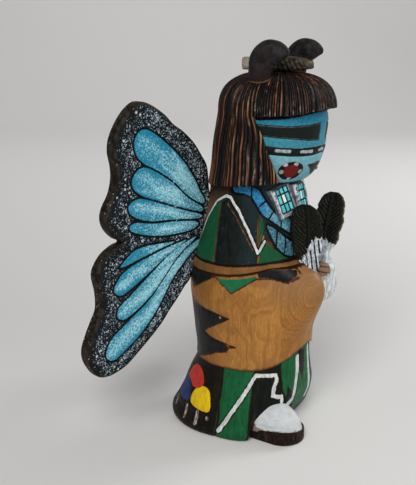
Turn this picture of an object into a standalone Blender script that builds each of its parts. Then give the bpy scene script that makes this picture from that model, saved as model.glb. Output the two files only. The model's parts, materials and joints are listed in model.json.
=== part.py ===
# Carved and painted standing maiden with butterfly wings.
# One wooden figure and two wing plates that sit in a shallow pocket in its back.
# Frame: metres, origin at the middle of the underside, +Z up, the figure faces -Y, its left is +X.
import math

import bmesh
import bpy
import numpy as np

# Driving sizes
figure_height = 0.1706
wing_reach = 0.0751
wing_height = 0.1126
wing_thickness = 0.0058
wing_rim_round = 0.0016
wing_foot_height = 0.0337
wing_sweep = math.radians(15)
seat_clearance = 0.0003
seat_opening = 0.012

# The figure is a free form: its proportions are counted in parts, 170.6 to its height.
part = figure_height / 170.6

# The wing plates' middle planes cross this far behind the origin, just under the back's surface.
wing_root_depth = 13.7

# Body sections: height, half width, reach to the front, reach to the back, widest line, squareness.
body_stations = np.array([
    (0.0, 30.6, 23.7, 29.8, 0.0, 4.0),
    (1.4, 31.5, 25.2, 30.6, -0.2, 4.0),
    (8.0, 30.6, 29.2, 27.8, -1.5, 3.6),
    (15.5, 29.8, 31.4, 24.0, -3.0, 3.2),
    (22.5, 27.8, 32.4, 21.7, -5.0, 2.7),
    (30.0, 26.3, 33.2, 18.6, -6.5, 2.3),
    (44.5, 26.7, 34.2, 19.1, -7.3, 2.1),
    (54.0, 27.2, 34.3, 20.2, -7.0, 2.05),
    (63.5, 26.8, 32.5, 21.3, -5.6, 2.0),
    (73.0, 25.6, 30.5, 20.9, -4.8, 2.0),
    (80.0, 24.2, 29.6, 18.4, -5.6, 2.0),
    (89.0, 22.8, 29.2, 15.5, -7.2, 2.0),
    (98.0, 21.8, 28.3, 13.6, -8.3, 2.0),
    (106.0, 20.6, 26.6, 11.5, -9.4, 2.0),
    (118.0, 17.0, 24.0, 8.0, -10.5, 2.0),
])
body_columns = 56
body_front_crowding = 0.4
blanket_edge = 31.4
blanket_edge_rise = 7.6
blanket_overhang = 0.9
blanket_hem = 0.3
bodice_top = 117.0
# Lower and upper line of the belt: height at the side, tilt and further climb towards the front
belt_lines = ((73.1, 1.1, 3.9), (77.25, 0.4, 2.1))
belt_climb_bend = 1.8
belt_groove = 0.7
belt_lip = 0.5
# Levels of the rings: heights in the skirt, then shares of the way up through tuck, blanket and bodice
skirt_levels = (0.0, 1.4, 5.0, 9.0, 13.5, 18.0)
tuck_shares = (0.45, 0.92)
blanket_shares = (0.0, 0.14, 0.28, 0.4, 0.5, 0.6, 0.7, 0.8, 0.9)
bodice_shares = (0.15, 0.3, 0.46, 0.61, 0.77, 1.0)

# Forearms folded in front under the blanket: angle from the front, half spread, how far they stand out.
forearm_swells = ((-13.0, 32.0, 13.0), (24.0, 35.0, 8.6))
forearm_height = 67.5
forearm_rise = 13.0
forearm_fall = 25.0

# Hollow of the skirt over the right foot: angles from the front, width of each edge, depth and height.
hollow_turns = (-55.0, -24.0)
hollow_edges = (4.0, 16.0)
hollow_depth = 4.0
hollow_height = 31.0

# Head of hair: an upright tube that leans back as it falls, under a domed crown.
hair_stations = np.array([
    (107.0, 25.5, -12.5),
    (119.0, 25.2, -13.6),
    (127.4, 24.8, -14.8),
    (136.0, 24.5, -16.9),
    (141.0, 24.3, -18.2),
])
crown_rise = 16.3
crown_roundness = 2.6
crown_parting = 7.0
crown_stretch = 4.2
bangs_edge = 140.9
bangs_edge_rise = 2.2
hair_edge = 111.9
hair_edge_tilt = 3.2
lock_count = 40
lock_depth = 0.8
hair_levels = (0.0, 0.25, 0.5, 0.75)
crown_climbs = (0.0, 16.0, 32.0, 48.0, 62.0, 75.0)
crown_flat = 2.0

# Face mask: height from the bangs' edge, radius about the mask's own axis.
face_stations = np.array([
    (-29.5, 9.0),
    (-28.6, 12.8),
    (-26.4, 16.5),
    (-23.3, 18.9),
    (-18.9, 20.9),
    (-14.9, 22.0),
    (-9.9, 22.5),
    (0.1, 22.5),
    (4.1, 20.5),
])
face_axis = -15.7
face_back_share = 0.55
face_columns = 32
# Opening in the hair: share of the way up from its foot to the bangs, half angle in degrees
opening_foot = 104.0
opening_stations = np.array([
    (0.0, 42.0),
    (0.314, 54.0),
    (0.59, 67.0),
    (0.805, 76.0),
    (1.0, 88.4),
])
opening_columns = 11
opening_inside = 7.0
opening_outside = 60.0

# Top of the crown, which carries the whorls and the tie
crown_height = hair_stations[-1, 0] + crown_rise

# Hair whorls, right then left: how far each stands out sideways and to the rear of the path
whorl_places = ((-15.9, 1.2), (13.9, -0.7))
whorl_half_width = 4.5
# Path of a whorl: distance back to front, height over the crown, half depth
whorl_path = np.array([
    (-17.6, -8.3, 4.6),
    (-17.7, -3.3, 4.7),
    (-18.2, 1.0, 5.0),
    (-19.4, 5.0, 6.0),
    (-21.9, 7.7, 5.9),
    (-24.9, 8.6, 4.87),
    (-27.4, 8.5, 3.5),
    (-29.2, 8.0, 2.1),
    (-30.2, 7.4, 1.0),
])

# Hair tie: a wrapped bar along the parting.
tie_back = -1.6
tie_front = -32.2
tie_sink = 0.1
tie_height = 6.2
# Towards its front end the tie's foot lifts off the crown and its height shrinks by a share
tie_lift = 1.6
tie_taper = 0.5
tie_half_width = 4.2
tie_ribs = 11
tie_rib_height = 0.6
# Shares of the tie's length where the wrapping runs, and the size of the stub ends beside it
tie_wrap = (0.2, 0.93)
tie_stub = 0.87
tie_stub_step = 0.03

# Width of the small flat at each pole of a rounded lump, as a share of the lump's own width
pole_flat_share = 0.14

# Left arm: the sleeve's end and the hand that holds the feathers, as centres and radii
sleeve_centre = (9.0, -37.6, 68.0)
sleeve_radii = (7.0, 5.6, 10.2)
hand_centre = (2.6, -38.6, 73.2)
hand_radii = (4.6, 4.0, 4.0)

# Feathers, right then left: foot, tip and sideways lean of the blade
feather_forms = (
    ("feather_right_form", (-3.6, -35.1, 71.0), (-9.0, -35.3, 104.0), 0.12),
    ("feather_left_form", (4.4, -36.4, 71.0), (11.0, -40.0, 106.4), -0.12),
)
feather_width = 14.4
# Share of a feather's length, share of its width, thickness
feather_stations = (
    (0.0, 0.42, 4.6),
    (0.2, 0.72, 4.6),
    (0.27, 0.66, 4.5),
    (0.45, 0.93, 4.4),
    (0.5, 0.88, 4.3),
    (0.68, 1.0, 4.0),
    (0.73, 0.93, 3.8),
    (0.88, 0.84, 3.2),
    (0.96, 0.6, 2.6),
    (1.0, 0.3, 2.0),
)
# Half of a feather's cross section, from edge to edge: share of the half width, share of the half thickness
feather_section = ((-1.0, 0.25), (-0.5, 0.8), (-0.12, 0.8), (0.0, 1.05), (0.12, 0.8), (0.5, 0.8), (1.0, 0.25))

# Right foot in its moccasin
foot_side = -15.2
foot_half_width = 9.6
foot_heel = -8.0
foot_toe = -39.8
sole_thickness = 5.4
sole_rounding = 0.6
instep_height = 16.8
upper_length = 19.0
upper_inset = 0.6
upper_sink = 0.4
heel_width_share = 0.8

# Pendants: turned about the neck, in degrees from the front
pendant_turns = (-32.0, 0.0, 32.0)
pendant_width = 8.8
pendant_height = 13.2
pendant_thickness = 4.6
pendant_bevel = 0.9
# Further spread of the back's upper corners
pendant_flare = 2.6
pendant_frame = 1.2
pendant_inlay_depth = 0.4
pendant_edge = 0.5
pendant_roll = -0.5
pendant_middle = 104.9
pendant_radius = 19.9
pendant_axis = -10.2
pendant_lean = math.radians(14)


def clear_scene():
    for thing in list(bpy.data.objects):
        bpy.data.objects.remove(thing, do_unlink=True)


def make_material(name, colour, roughness):
    material = bpy.data.materials.new(name)
    material.use_nodes = True
    shader = material.node_tree.nodes["Principled BSDF"]
    shader.inputs["Base Color"].default_value = (*colour, 1.0)
    shader.inputs["Roughness"].default_value = roughness
    shader.inputs["Metallic"].default_value = 0.0
    return material


def add_object(name, points, faces, material):
    """Makes a closed mesh object from points in metres and turns its faces outwards."""
    mesh = bpy.data.meshes.new(name)
    mesh.from_pydata([tuple(p) for p in points], [], faces)
    work = bmesh.new()
    work.from_mesh(mesh)
    bmesh.ops.recalc_face_normals(work, faces=work.faces)
    work.to_mesh(mesh)
    work.free()
    mesh.materials.append(material)
    mesh.shade_smooth()
    mesh.set_sharp_from_angle(angle=math.radians(40))
    thing = bpy.data.objects.new(name, mesh)
    bpy.context.scene.collection.objects.link(thing)
    return thing


def ring_solid(name, rings, material):
    """Joins rings of equal point count, stacked along the solid, and closes both ends."""
    count = len(rings[0])
    points = np.concatenate(rings)
    faces = []
    for row in range(len(rings) - 1):
        low = row * count
        for k in range(count):
            step = (k + 1) % count
            faces.append((low + k, low + step, low + count + step, low + count + k))
    faces.append(tuple(range(count))[::-1])
    faces.append(tuple(range(len(points) - count, len(points))))
    return add_object(name, points, faces, material)


def as_tool(thing):
    """Marks a solid that is only joined to or cut from another."""
    thing.hide_render = True
    thing.display_type = "WIRE"
    return thing


def combine(target, tool, operation):
    modifier = target.modifiers.new(operation.lower() + " " + tool.name, "BOOLEAN")
    modifier.operation = operation
    modifier.solver = "EXACT"
    modifier.material_mode = "TRANSFER"
    modifier.object = as_tool(tool)


def smooth_read(stations, height):
    """Reads every column of a station table at a height, along a smooth curve through the stations."""
    known = stations[:, 0]
    slopes = np.gradient(stations[:, 1:], known, axis=0)
    place = np.clip(np.searchsorted(known, height) - 1, 0, len(known) - 2)
    span = known[place + 1] - known[place]
    t = np.clip((height - known[place]) / span, 0, 1)[..., None]
    low, high = stations[place, 1:], stations[place + 1, 1:]
    pull_low, pull_high = slopes[place] * span[..., None], slopes[place + 1] * span[..., None]
    return ((1 + 2 * t) * (1 - t) ** 2 * low + t * (1 - t) ** 2 * pull_low
            + t * t * (3 - 2 * t) * high + t * t * (t - 1) * pull_high)


def turn_steps(count):
    """Angles right round, from the front towards the figure's left."""
    return np.arange(count) * 2 * math.pi / count


def angle_from(angle, middle):
    """Signed turn from a middle angle, within half a turn either way."""
    return (angle - middle + math.pi) % (2 * math.pi) - math.pi


def front_share(angle):
    return np.clip(np.cos(angle), 0, 1)


def blanket_edge_height(angle):
    """The blanket's lower edge sweeps up towards the front."""
    return blanket_edge + blanket_edge_rise * front_share(angle) ** 4.6


def belt_height(angle, line):
    """A line of the belt drops a little towards the back and climbs towards the front."""
    height, tilt, climb = line
    return height + tilt * np.cos(angle) + climb * front_share(angle) ** belt_climb_bend


def forearm_swell(angle, height):
    """How far the folded forearms push the blanket out: steep above them, tapering below."""
    above = np.clip((height - forearm_height) / forearm_rise, 0, 1)
    below = np.clip((forearm_height - height) / forearm_fall, 0, 1)
    upright = (1 - above ** 2.2) * (1 - below ** 1.6) ** 2
    swell = np.zeros(np.shape(angle))
    for middle, spread, reach in forearm_swells:
        away = np.clip(np.abs(np.degrees(angle_from(angle, math.radians(middle)))) / spread, 0, 1)
        swell = np.maximum(swell, reach * (1 - away ** 2) ** 2 * upright)
    return swell


def foot_hollow(angle, height):
    """How far the skirt draws back over the right foot: a crisp side edge, a soft front one."""
    turn = np.degrees(angle_from(angle, 0.0))
    sharp = np.clip((turn - hollow_turns[0]) / hollow_edges[0], 0, 1)
    soft = np.clip((hollow_turns[1] - turn) / hollow_edges[1], 0, 1)
    fade = np.clip(1 - height / hollow_height, 0, 1) ** 0.7
    return hollow_depth * np.minimum(sharp, soft) * fade


def body_point(angle, height, grow=0.0):
    """Point of the body at an angle from the front and a height, pushed out by grow."""
    half_width, front, back, middle, square = np.moveaxis(smooth_read(body_stations, height), -1, 0)
    depth = np.where(np.cos(angle) > 0, front + middle, back - middle)
    square = np.where(np.cos(angle) > 0, square, 2.0)
    across = (np.abs(np.sin(angle)) / half_width) ** square
    along = (np.abs(np.cos(angle)) / depth) ** square
    reach = (across + along) ** (-1 / square) + grow
    reach = reach + forearm_swell(angle, height) - foot_hollow(angle, height)
    return np.stack([reach * np.sin(angle), middle - reach * np.cos(angle), height], axis=-1) * part


def body_rings():
    """Rings of the skirt, the blanket over it, the belt and the bodice, from the ground up."""
    angle = turn_steps(body_columns) + math.pi / body_columns
    angle = angle - body_front_crowding * np.sin(angle)
    edge = blanket_edge_height(angle)
    low, high = [belt_height(angle, line) for line in belt_lines]
    flat = np.ones(body_columns)
    tuck = skirt_levels[-1]
    rings = []
    for height in skirt_levels:
        rings.append(body_point(angle, height * flat))
    for share in tuck_shares:
        rings.append(body_point(angle, tuck + (edge - tuck) * share, -blanket_overhang * share))
    rings.append(body_point(angle, edge - blanket_hem, -blanket_overhang))
    for share in blanket_shares:
        rings.append(body_point(angle, edge + (low - edge) * share))
    for line in (low, high):
        rings.append(body_point(angle, line - belt_lip))
        rings.append(body_point(angle, line, -belt_groove))
        rings.append(body_point(angle, line + belt_lip))
    for share in bodice_shares:
        rings.append(body_point(angle, high + (bodice_top - high) * share))
    return rings


def hair_axis(height):
    """Radius of the hair and the place of its axis at a height below the crown."""
    radius, middle = np.moveaxis(smooth_read(hair_stations, height), -1, 0)
    return radius, middle


def oval_ring(angle, across, along, middle, height):
    """A level ring with its own reach sideways and lengthways about a middle on the centre plane."""
    level = np.full(len(angle), 1.0) * height
    return np.stack([across * np.sin(angle), middle - along * np.cos(angle), level], -1) * part


def hair_rings():
    """Rings of the hair: locks are ridges round the tube that fade out at the parting."""
    angle = turn_steps(2 * lock_count)
    groove = (np.arange(2 * lock_count) % 2) * lock_depth
    low_edge = hair_edge + hair_edge_tilt * np.cos(angle)
    shoulder = hair_stations[-1, 0]
    rings = []
    for share in hair_levels:
        height = low_edge + (shoulder - low_edge) * share
        radius, middle = hair_axis(height)
        reach = radius - groove
        rings.append(oval_ring(angle, reach, reach, middle, height))
    top_radius, top_middle = hair_axis(np.array([shoulder]))
    for climb in np.radians(crown_climbs):
        rise = math.sin(climb) ** (2 / crown_roundness)
        fall = math.cos(climb) ** (2 / crown_roundness)
        across = (top_radius - groove) * fall
        along = across + crown_stretch * (1 - fall)
        rings.append(oval_ring(angle, across, along, top_middle, shoulder + (crown_height - shoulder) * rise))
    rings.append(oval_ring(angle, crown_flat, crown_parting, top_middle, crown_height))
    return rings


def opening_rings():
    """Rings of the wedge that opens the hair in front of the face, under the bangs."""
    rings = []
    for share, half_angle in opening_stations:
        spread = np.radians(np.linspace(-half_angle, half_angle, opening_columns))
        angle = np.concatenate([spread, spread[::-1]])
        reach = np.repeat((opening_outside, opening_inside), opening_columns)
        level = opening_foot + (bangs_edge - opening_foot) * share
        middle = hair_axis(np.array([level]))[1]
        if share == 1.0:
            level = bangs_edge + bangs_edge_rise * front_share(angle) ** 3
        rings.append(oval_ring(angle, reach, reach, middle, level))
    return rings


def face_rings():
    angle = turn_steps(face_columns)
    rings = []
    depth = np.where(np.cos(angle) > 0, 1.0, face_back_share)
    for rise, radius in face_stations:
        rings.append(oval_ring(angle, radius, radius * depth, face_axis, bangs_edge + rise))
    return rings


def tube_rings(path, half_width, half_depth, columns):
    """Oval rings square to a path that lies in an upright plane through the Y axis."""
    along = np.gradient(path, axis=0)
    along /= np.linalg.norm(along, axis=1)[:, None]
    angle = turn_steps(columns)
    rings = []
    for centre, way, wide, deep in zip(path, along, half_width, half_depth):
        side = np.array([1.0, 0.0, 0.0])
        out = np.cross(way, side)
        reach = wide * np.cos(angle)[:, None] * side + deep * np.sin(angle)[:, None] * out
        rings.append((centre + reach) * part)
    return rings


def make_whorl(name, place, material):
    """A thick comma of hair that rises from the crown and hooks forward to a point."""
    across, rearward = place
    along, rise = whorl_path[:, 0] + rearward, whorl_path[:, 1]
    path = np.stack([np.full(len(whorl_path), across), along, crown_height + rise], -1)
    half_depth = whorl_path[:, 2]
    half_width = whorl_half_width * np.minimum(1.0, half_depth / half_depth[0])
    return ring_solid(name, tube_rings(path, half_width, half_depth, 14), material)


def make_hair_tie(material):
    """A bar with plain stub ends and wrapped ribs between them."""
    length = tie_front - tie_back
    half_height = 0.5 * tie_height
    pitch = (tie_wrap[1] - tie_wrap[0]) / tie_ribs
    shares = [0.0, tie_wrap[0] - tie_stub_step]
    swell = [tie_stub, tie_stub]
    for rib in range(tie_ribs):
        shares += [tie_wrap[0] + pitch * rib, tie_wrap[0] + pitch * (rib + 0.5)]
        swell += [1.0, 1.0 + tie_rib_height / half_height]
    shares += [tie_wrap[1] + tie_stub_step, 1.0]
    swell += [tie_stub, tie_stub]
    angle = turn_steps(12)
    corner = (np.abs(np.cos(angle)) ** 4 + np.abs(np.sin(angle)) ** 4) ** -0.25
    rings = []
    for share, scale in zip(shares, swell):
        foot = crown_height - tie_sink + tie_lift * share ** 3
        high = half_height * (1 - tie_taper * share ** 4)
        ring = np.stack([
            scale * tie_half_width * corner * np.cos(angle),
            np.full(len(angle), tie_back + share * length),
            foot + high + scale * high * corner * np.sin(angle),
        ], -1)
        rings.append(ring * part)
    return ring_solid("hair_tie_form", rings, material)


def make_egg(name, centre, radii, material, columns=16, rows=8, whole=True):
    """An egg-shaped lump with small flats at its poles, or only its upper half."""
    angle = turn_steps(columns)
    pole = math.acos(pole_flat_share)
    rings = []
    for climb in np.linspace(-pole if whole else 0.0, pole, rows):
        ring = np.stack([
            centre[0] + radii[0] * math.cos(climb) * np.sin(angle),
            centre[1] - radii[1] * math.cos(climb) * np.cos(angle),
            np.full(columns, centre[2] + radii[2] * math.sin(climb)),
        ], -1)
        rings.append(ring * part)
    return ring_solid(name, rings, material)


def make_feather(name, base, tip, lean, material):
    """A broad feather carved as a slab: a leaf outline with nicked edges and a raised midrib."""
    base = np.array(base)
    axis = np.array(tip) - base
    across = np.array([lean, -1.0, 0.0])
    across /= np.linalg.norm(across)
    out = np.cross(axis / np.linalg.norm(axis), across)
    section = list(feather_section) + [(a, -b) for a, b in feather_section[::-1]]
    rings = []
    for share, spread, thick in feather_stations:
        half = 0.5 * feather_width * spread
        centre = base + axis * share
        ring = [centre + a * half * across + 0.5 * thick * b * out for a, b in section]
        rings.append(np.array(ring) * part)
    return ring_solid(name, rings, material)


def foot_ring(height, shrink):
    """Outline of the moccasin: straight sides, a round toe and a heel inside the skirt."""
    turn = np.radians(np.linspace(-90, 90, 15))
    toe_centre = foot_toe + foot_half_width
    reach = foot_half_width - shrink
    toe = [(foot_side + reach * math.sin(a), toe_centre - reach * math.cos(a)) for a in turn]
    half_heel = reach * heel_width_share
    heel = [(foot_side + half_heel, foot_heel), (foot_side - half_heel, foot_heel)]
    return np.array([(x, y, height) for x, y in toe + heel]) * part


def make_foot(material):
    """The rounded upper over a slightly wider sole."""
    upper_base = sole_thickness - upper_sink
    centre = (foot_side, foot_toe + upper_inset + upper_length, upper_base)
    radii = (foot_half_width - upper_inset, upper_length, instep_height - upper_base)
    upper = make_egg("foot_upper_form", centre, radii, material, 24, 7, False)
    sole = ring_solid("foot_sole_form", [
        foot_ring(0.0, sole_rounding),
        foot_ring(sole_rounding, 0.0),
        foot_ring(sole_thickness - sole_rounding, 0.0),
        foot_ring(sole_thickness, sole_rounding),
    ], material)
    return upper, sole


def make_pendant(turn, material):
    """One framed inlay block: bevelled sides, a raised rim, turned about the neck and leaning back."""
    angle = math.radians(turn)
    outward = np.array([math.sin(angle), -math.cos(angle), 0.0])
    level = np.array([math.cos(angle), math.sin(angle), 0.0])
    rise = np.array([0.0, 0.0, 1.0]) * math.cos(pendant_lean) - outward * math.sin(pendant_lean)
    face = np.cross(level, rise)
    roll = angle * pendant_roll
    across = level * math.cos(roll) + rise * math.sin(roll)
    up = rise * math.cos(roll) - level * math.sin(roll)
    centre = np.array([0.0, pendant_axis, pendant_middle]) + outward * pendant_radius
    corners = [(-1, -1), (1, -1), (1, 1), (-1, 1)]
    rings = []
    profile = (
        (-pendant_thickness, pendant_bevel, pendant_flare),
        (-pendant_edge, 0.0, 0.0),
        (0.0, -pendant_edge, 0.0),
        (0.0, -pendant_frame, 0.0),
        (-pendant_inlay_depth, -pendant_frame - 0.1, 0.0),
    )
    for depth, grow, flare in profile:
        half_width = 0.5 * pendant_width + grow
        half_height = 0.5 * pendant_height + grow
        ring = []
        for a, b in corners:
            spread = half_width + flare * max(b, 0)
            ring.append(centre + across * a * spread + up * b * half_height + face * depth)
        rings.append(np.array(ring) * part)
    return ring_solid("pendant_form_%+d" % turn, rings, material)


def wing_outline():
    """Outline of a wing plate: shares of its reach outwards and of its height upwards."""
    return np.array([
        (-0.060, 0.400), (-0.060, 0.600), (0.030, 0.606), (0.060, 0.632), (0.070, 0.690), (0.084, 0.736),
        (0.128, 0.779), (0.186, 0.829), (0.266, 0.875), (0.344, 0.908), (0.412, 0.948), (0.511, 0.987),
        (0.580, 1.000), (0.630, 0.992), (0.688, 0.962), (0.740, 0.918), (0.774, 0.874), (0.783, 0.828),
        (0.767, 0.775), (0.767, 0.730), (0.789, 0.680), (0.831, 0.637), (0.849, 0.598), (0.833, 0.558),
        (0.782, 0.520), (0.730, 0.500), (0.782, 0.490), (0.855, 0.464), (0.909, 0.420), (0.918, 0.384),
        (0.900, 0.325), (0.900, 0.265), (0.934, 0.222), (0.968, 0.180), (1.000, 0.130), (1.000, 0.088),
        (0.972, 0.048), (0.928, 0.012), (0.872, 0.000), (0.805, 0.003), (0.727, 0.018), (0.643, 0.052),
        (0.536, 0.100), (0.452, 0.143), (0.393, 0.183), (0.329, 0.222), (0.270, 0.262), (0.228, 0.285),
        (0.186, 0.335), (0.171, 0.385), (0.130, 0.420),
    ])


def offset_outline(outline, distance):
    """Moves each corner of a closed outline along its own normal."""
    before = outline - np.roll(outline, 1, axis=0)
    after = np.roll(outline, -1, axis=0) - outline
    way = before / np.linalg.norm(before, axis=1)[:, None] + after / np.linalg.norm(after, axis=1)[:, None]
    way /= np.linalg.norm(way, axis=1)[:, None]
    normal = np.stack([-way[:, 1], way[:, 0]], axis=-1)
    return outline + normal * distance


def wing_layer(side, depth, grow):
    """One layer of the wing plate, at a depth behind its middle plane."""
    outline = offset_outline(wing_outline() * (wing_reach, wing_height), grow)
    outwards = np.array([side * math.cos(wing_sweep), math.sin(wing_sweep), 0.0])
    rearwards = np.array([-side * math.sin(wing_sweep), math.cos(wing_sweep), 0.0])
    root = np.array([0.0, wing_root_depth * part, wing_foot_height])
    up = np.array([0.0, 0.0, 1.0])
    return np.array([root + outwards * s + up * z + rearwards * depth for s, z in outline])


def make_wing(name, side, material):
    """A flat plate with rounded rims, mitred against its twin at the middle plane."""
    half = 0.5 * wing_thickness
    wing = ring_solid(name, [
        wing_layer(side, -half, -wing_rim_round),
        wing_layer(side, -half + wing_rim_round, 0.0),
        wing_layer(side, half - wing_rim_round, 0.0),
        wing_layer(side, half, -wing_rim_round),
    ], material)
    work = bmesh.new()
    work.from_mesh(wing.data)
    cut = bmesh.ops.bisect_plane(
        work,
        geom=work.verts[:] + work.edges[:] + work.faces[:],
        dist=1e-7,
        plane_co=(side * 0.5 * seat_clearance, 0.0, 0.0),
        plane_no=(-side, 0.0, 0.0),
        clear_outer=True,
    )
    rim = [e for e in cut["geom_cut"] if isinstance(e, bmesh.types.BMEdge)]
    bmesh.ops.holes_fill(work, edges=rim)
    bmesh.ops.recalc_face_normals(work, faces=work.faces)
    work.to_mesh(wing.data)
    work.free()
    return wing


def make_wing_seat(name, side, material):
    """The room that a wing plate takes in the back, open to the rear."""
    half = 0.5 * wing_thickness + seat_clearance
    return ring_solid(name, [
        wing_layer(side, -half, seat_clearance),
        wing_layer(side, half + seat_opening, seat_clearance),
    ], material)


def make_figure(paint):
    """The whole carving as one solid: the body, with every other form joined to it."""
    figure = ring_solid("figure", body_rings(), paint["blanket wood"])
    hair = as_tool(ring_solid("hair_form", hair_rings(), paint["hair black"]))
    combine(hair, ring_solid("face_opening_form", opening_rings(), paint["hair black"]), "DIFFERENCE")
    joined = [
        hair,
        ring_solid("face_form", face_rings(), paint["face turquoise"]),
        make_whorl("whorl_right_form", whorl_places[0], paint["hair black"]),
        make_whorl("whorl_left_form", whorl_places[1], paint["hair black"]),
        make_hair_tie(paint["hair black"]),
        make_egg("sleeve_left_form", sleeve_centre, sleeve_radii, paint["white"]),
        make_egg("hand_left_form", hand_centre, hand_radii, paint["blanket wood"], 12, 6),
        *make_foot(paint["white"]),
    ]
    joined += [make_feather(*form, paint["hair black"]) for form in feather_forms]
    joined += [make_pendant(turn, paint["face turquoise"]) for turn in pendant_turns]
    for tool in joined:
        combine(figure, tool, "UNION")
    for name, side in (("seat_right_form", -1), ("seat_left_form", 1)):
        combine(figure, make_wing_seat(name, side, paint["blanket wood"]), "DIFFERENCE")
    return figure


clear_scene()
paint = {
    "blanket wood": make_material("blanket wood", (0.50, 0.30, 0.13), 0.5),
    "hair black": make_material("hair black", (0.03, 0.022, 0.018), 0.45),
    "face turquoise": make_material("face turquoise", (0.08, 0.42, 0.52), 0.45),
    "white": make_material("white paint", (0.75, 0.76, 0.76), 0.5),
    "wing paint": make_material("wing paint", (0.07, 0.40, 0.55), 0.5),
}
make_figure(paint)
make_wing("wing_right", -1, paint["wing paint"])
make_wing("wing_left", 1, paint["wing paint"])
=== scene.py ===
import json
import math

import bpy
import numpy as np
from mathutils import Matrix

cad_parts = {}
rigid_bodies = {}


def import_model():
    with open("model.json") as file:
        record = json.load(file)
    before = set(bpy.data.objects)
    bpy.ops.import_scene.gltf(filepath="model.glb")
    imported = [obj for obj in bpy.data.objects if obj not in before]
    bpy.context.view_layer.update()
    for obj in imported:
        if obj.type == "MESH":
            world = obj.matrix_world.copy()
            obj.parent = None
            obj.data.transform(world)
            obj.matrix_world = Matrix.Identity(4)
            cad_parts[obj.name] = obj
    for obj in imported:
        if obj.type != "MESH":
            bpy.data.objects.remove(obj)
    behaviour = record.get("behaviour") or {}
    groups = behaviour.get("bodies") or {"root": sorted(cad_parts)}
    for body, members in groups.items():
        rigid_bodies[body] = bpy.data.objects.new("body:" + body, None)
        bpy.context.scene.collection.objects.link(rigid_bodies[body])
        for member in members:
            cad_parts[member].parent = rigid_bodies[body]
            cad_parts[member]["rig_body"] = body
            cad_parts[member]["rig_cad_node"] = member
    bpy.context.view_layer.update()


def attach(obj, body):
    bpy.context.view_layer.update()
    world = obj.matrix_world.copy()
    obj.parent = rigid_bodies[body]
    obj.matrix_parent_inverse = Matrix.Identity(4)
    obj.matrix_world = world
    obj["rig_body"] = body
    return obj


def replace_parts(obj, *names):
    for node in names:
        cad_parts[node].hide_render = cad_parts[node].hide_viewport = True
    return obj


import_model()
random = np.random.default_rng(11)


# Writes a mesh object: points in millimetres, quads and triangles as index arrays, one float layer per paint name.
def meshObject(name, points, quads, triangles, paint, material):
    mesh = bpy.data.meshes.new(name)
    corners = np.concatenate([quads.ravel(), triangles.ravel()])
    starts = np.concatenate([np.arange(len(quads)) * 4, len(quads) * 4 + np.arange(len(triangles)) * 3])
    mesh.vertices.add(len(points))
    mesh.vertices.foreach_set("co", (points * 0.001).astype(np.float32).ravel())
    mesh.loops.add(len(corners))
    mesh.loops.foreach_set("vertex_index", corners.astype(np.int32))
    mesh.polygons.add(len(starts))
    mesh.polygons.foreach_set("loop_start", starts.astype(np.int32))
    mesh.update(calc_edges=True)
    for key, values in paint.items():
        layer = mesh.attributes.new(key, "FLOAT", "POINT")
        layer.data.foreach_set("value", values.astype(np.float32).ravel())
    mesh.shade_smooth()
    mesh.materials.append(material)
    thing = bpy.data.objects.new(name, mesh)
    bpy.context.scene.collection.objects.link(thing)
    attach(thing, "root")
    return thing


# Quads of a grid whose rows hold the same count of points; a wrapped grid closes its last column on its first.
def gridQuads(rows, columns, wrapped, first=0):
    row, column = np.meshgrid(np.arange(rows - 1), np.arange(columns if wrapped else columns - 1), indexing="ij")
    a = first + row * columns + column
    b = first + row * columns + (column + 1) % columns
    return np.stack([a, b, b + columns, a + columns], -1).reshape(-1, 4)


# A closed skin from rings stacked along the piece: row by row right round, each end closed by a fan to its middle.
# The middles can be drawn towards each other by a share, which hides the fans of rings that are folded flat.
def ringSkin(name, grid, paint, material, sharp=None, drawn=0.0):
    rows, columns = grid.shape[:2]
    low, high = grid[:1].mean(1), grid[-1:].mean(1)
    points = np.concatenate([grid.reshape(-1, 3), low + (high - low) * drawn, high + (low - high) * drawn])
    quads = gridQuads(rows, columns, True)
    k = np.arange(columns)
    after = (k + 1) % columns
    last = (rows - 1) * columns
    low = np.stack([after, k, np.full(columns, rows * columns)], -1)
    high = np.stack([last + k, last + after, np.full(columns, rows * columns + 1)], -1)
    layers = {key: np.concatenate([v.ravel(), [v[0].mean(), v[-1].mean()]]) for key, v in paint.items()}
    thing = meshObject(name, points, quads, np.concatenate([low, high]), layers, material)
    if sharp:
        thing.data.set_sharp_from_angle(angle=math.radians(sharp))
    return thing


# A closed skin from two matching sheets, front and back, joined by a band of quads round their shared border.
def sheetSkin(name, front, back, paint, material, sharp=None):
    rows, columns = front.shape[:2]
    count = rows * columns
    points = np.concatenate([front.reshape(-1, 3), back.reshape(-1, 3)])
    faces = gridQuads(rows, columns, False)
    row, column = np.arange(rows), np.arange(columns)
    border = np.concatenate([column[:-1], row[:-1] * columns + columns - 1,
                             (rows - 1) * columns + column[:0:-1], row[:0:-1] * columns])
    after = np.roll(border, -1)
    band = np.stack([after, border, border + count, after + count], -1)
    quads = np.concatenate([faces, faces[:, ::-1] + count, band])
    layers = {key: np.concatenate([v[0].ravel(), v[1].ravel()]) for key, v in paint.items()}
    thing = meshObject(name, points, quads, np.zeros((0, 3), int), layers, material)
    if sharp:
        thing.data.set_sharp_from_angle(angle=math.radians(sharp))
    return thing


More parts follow.
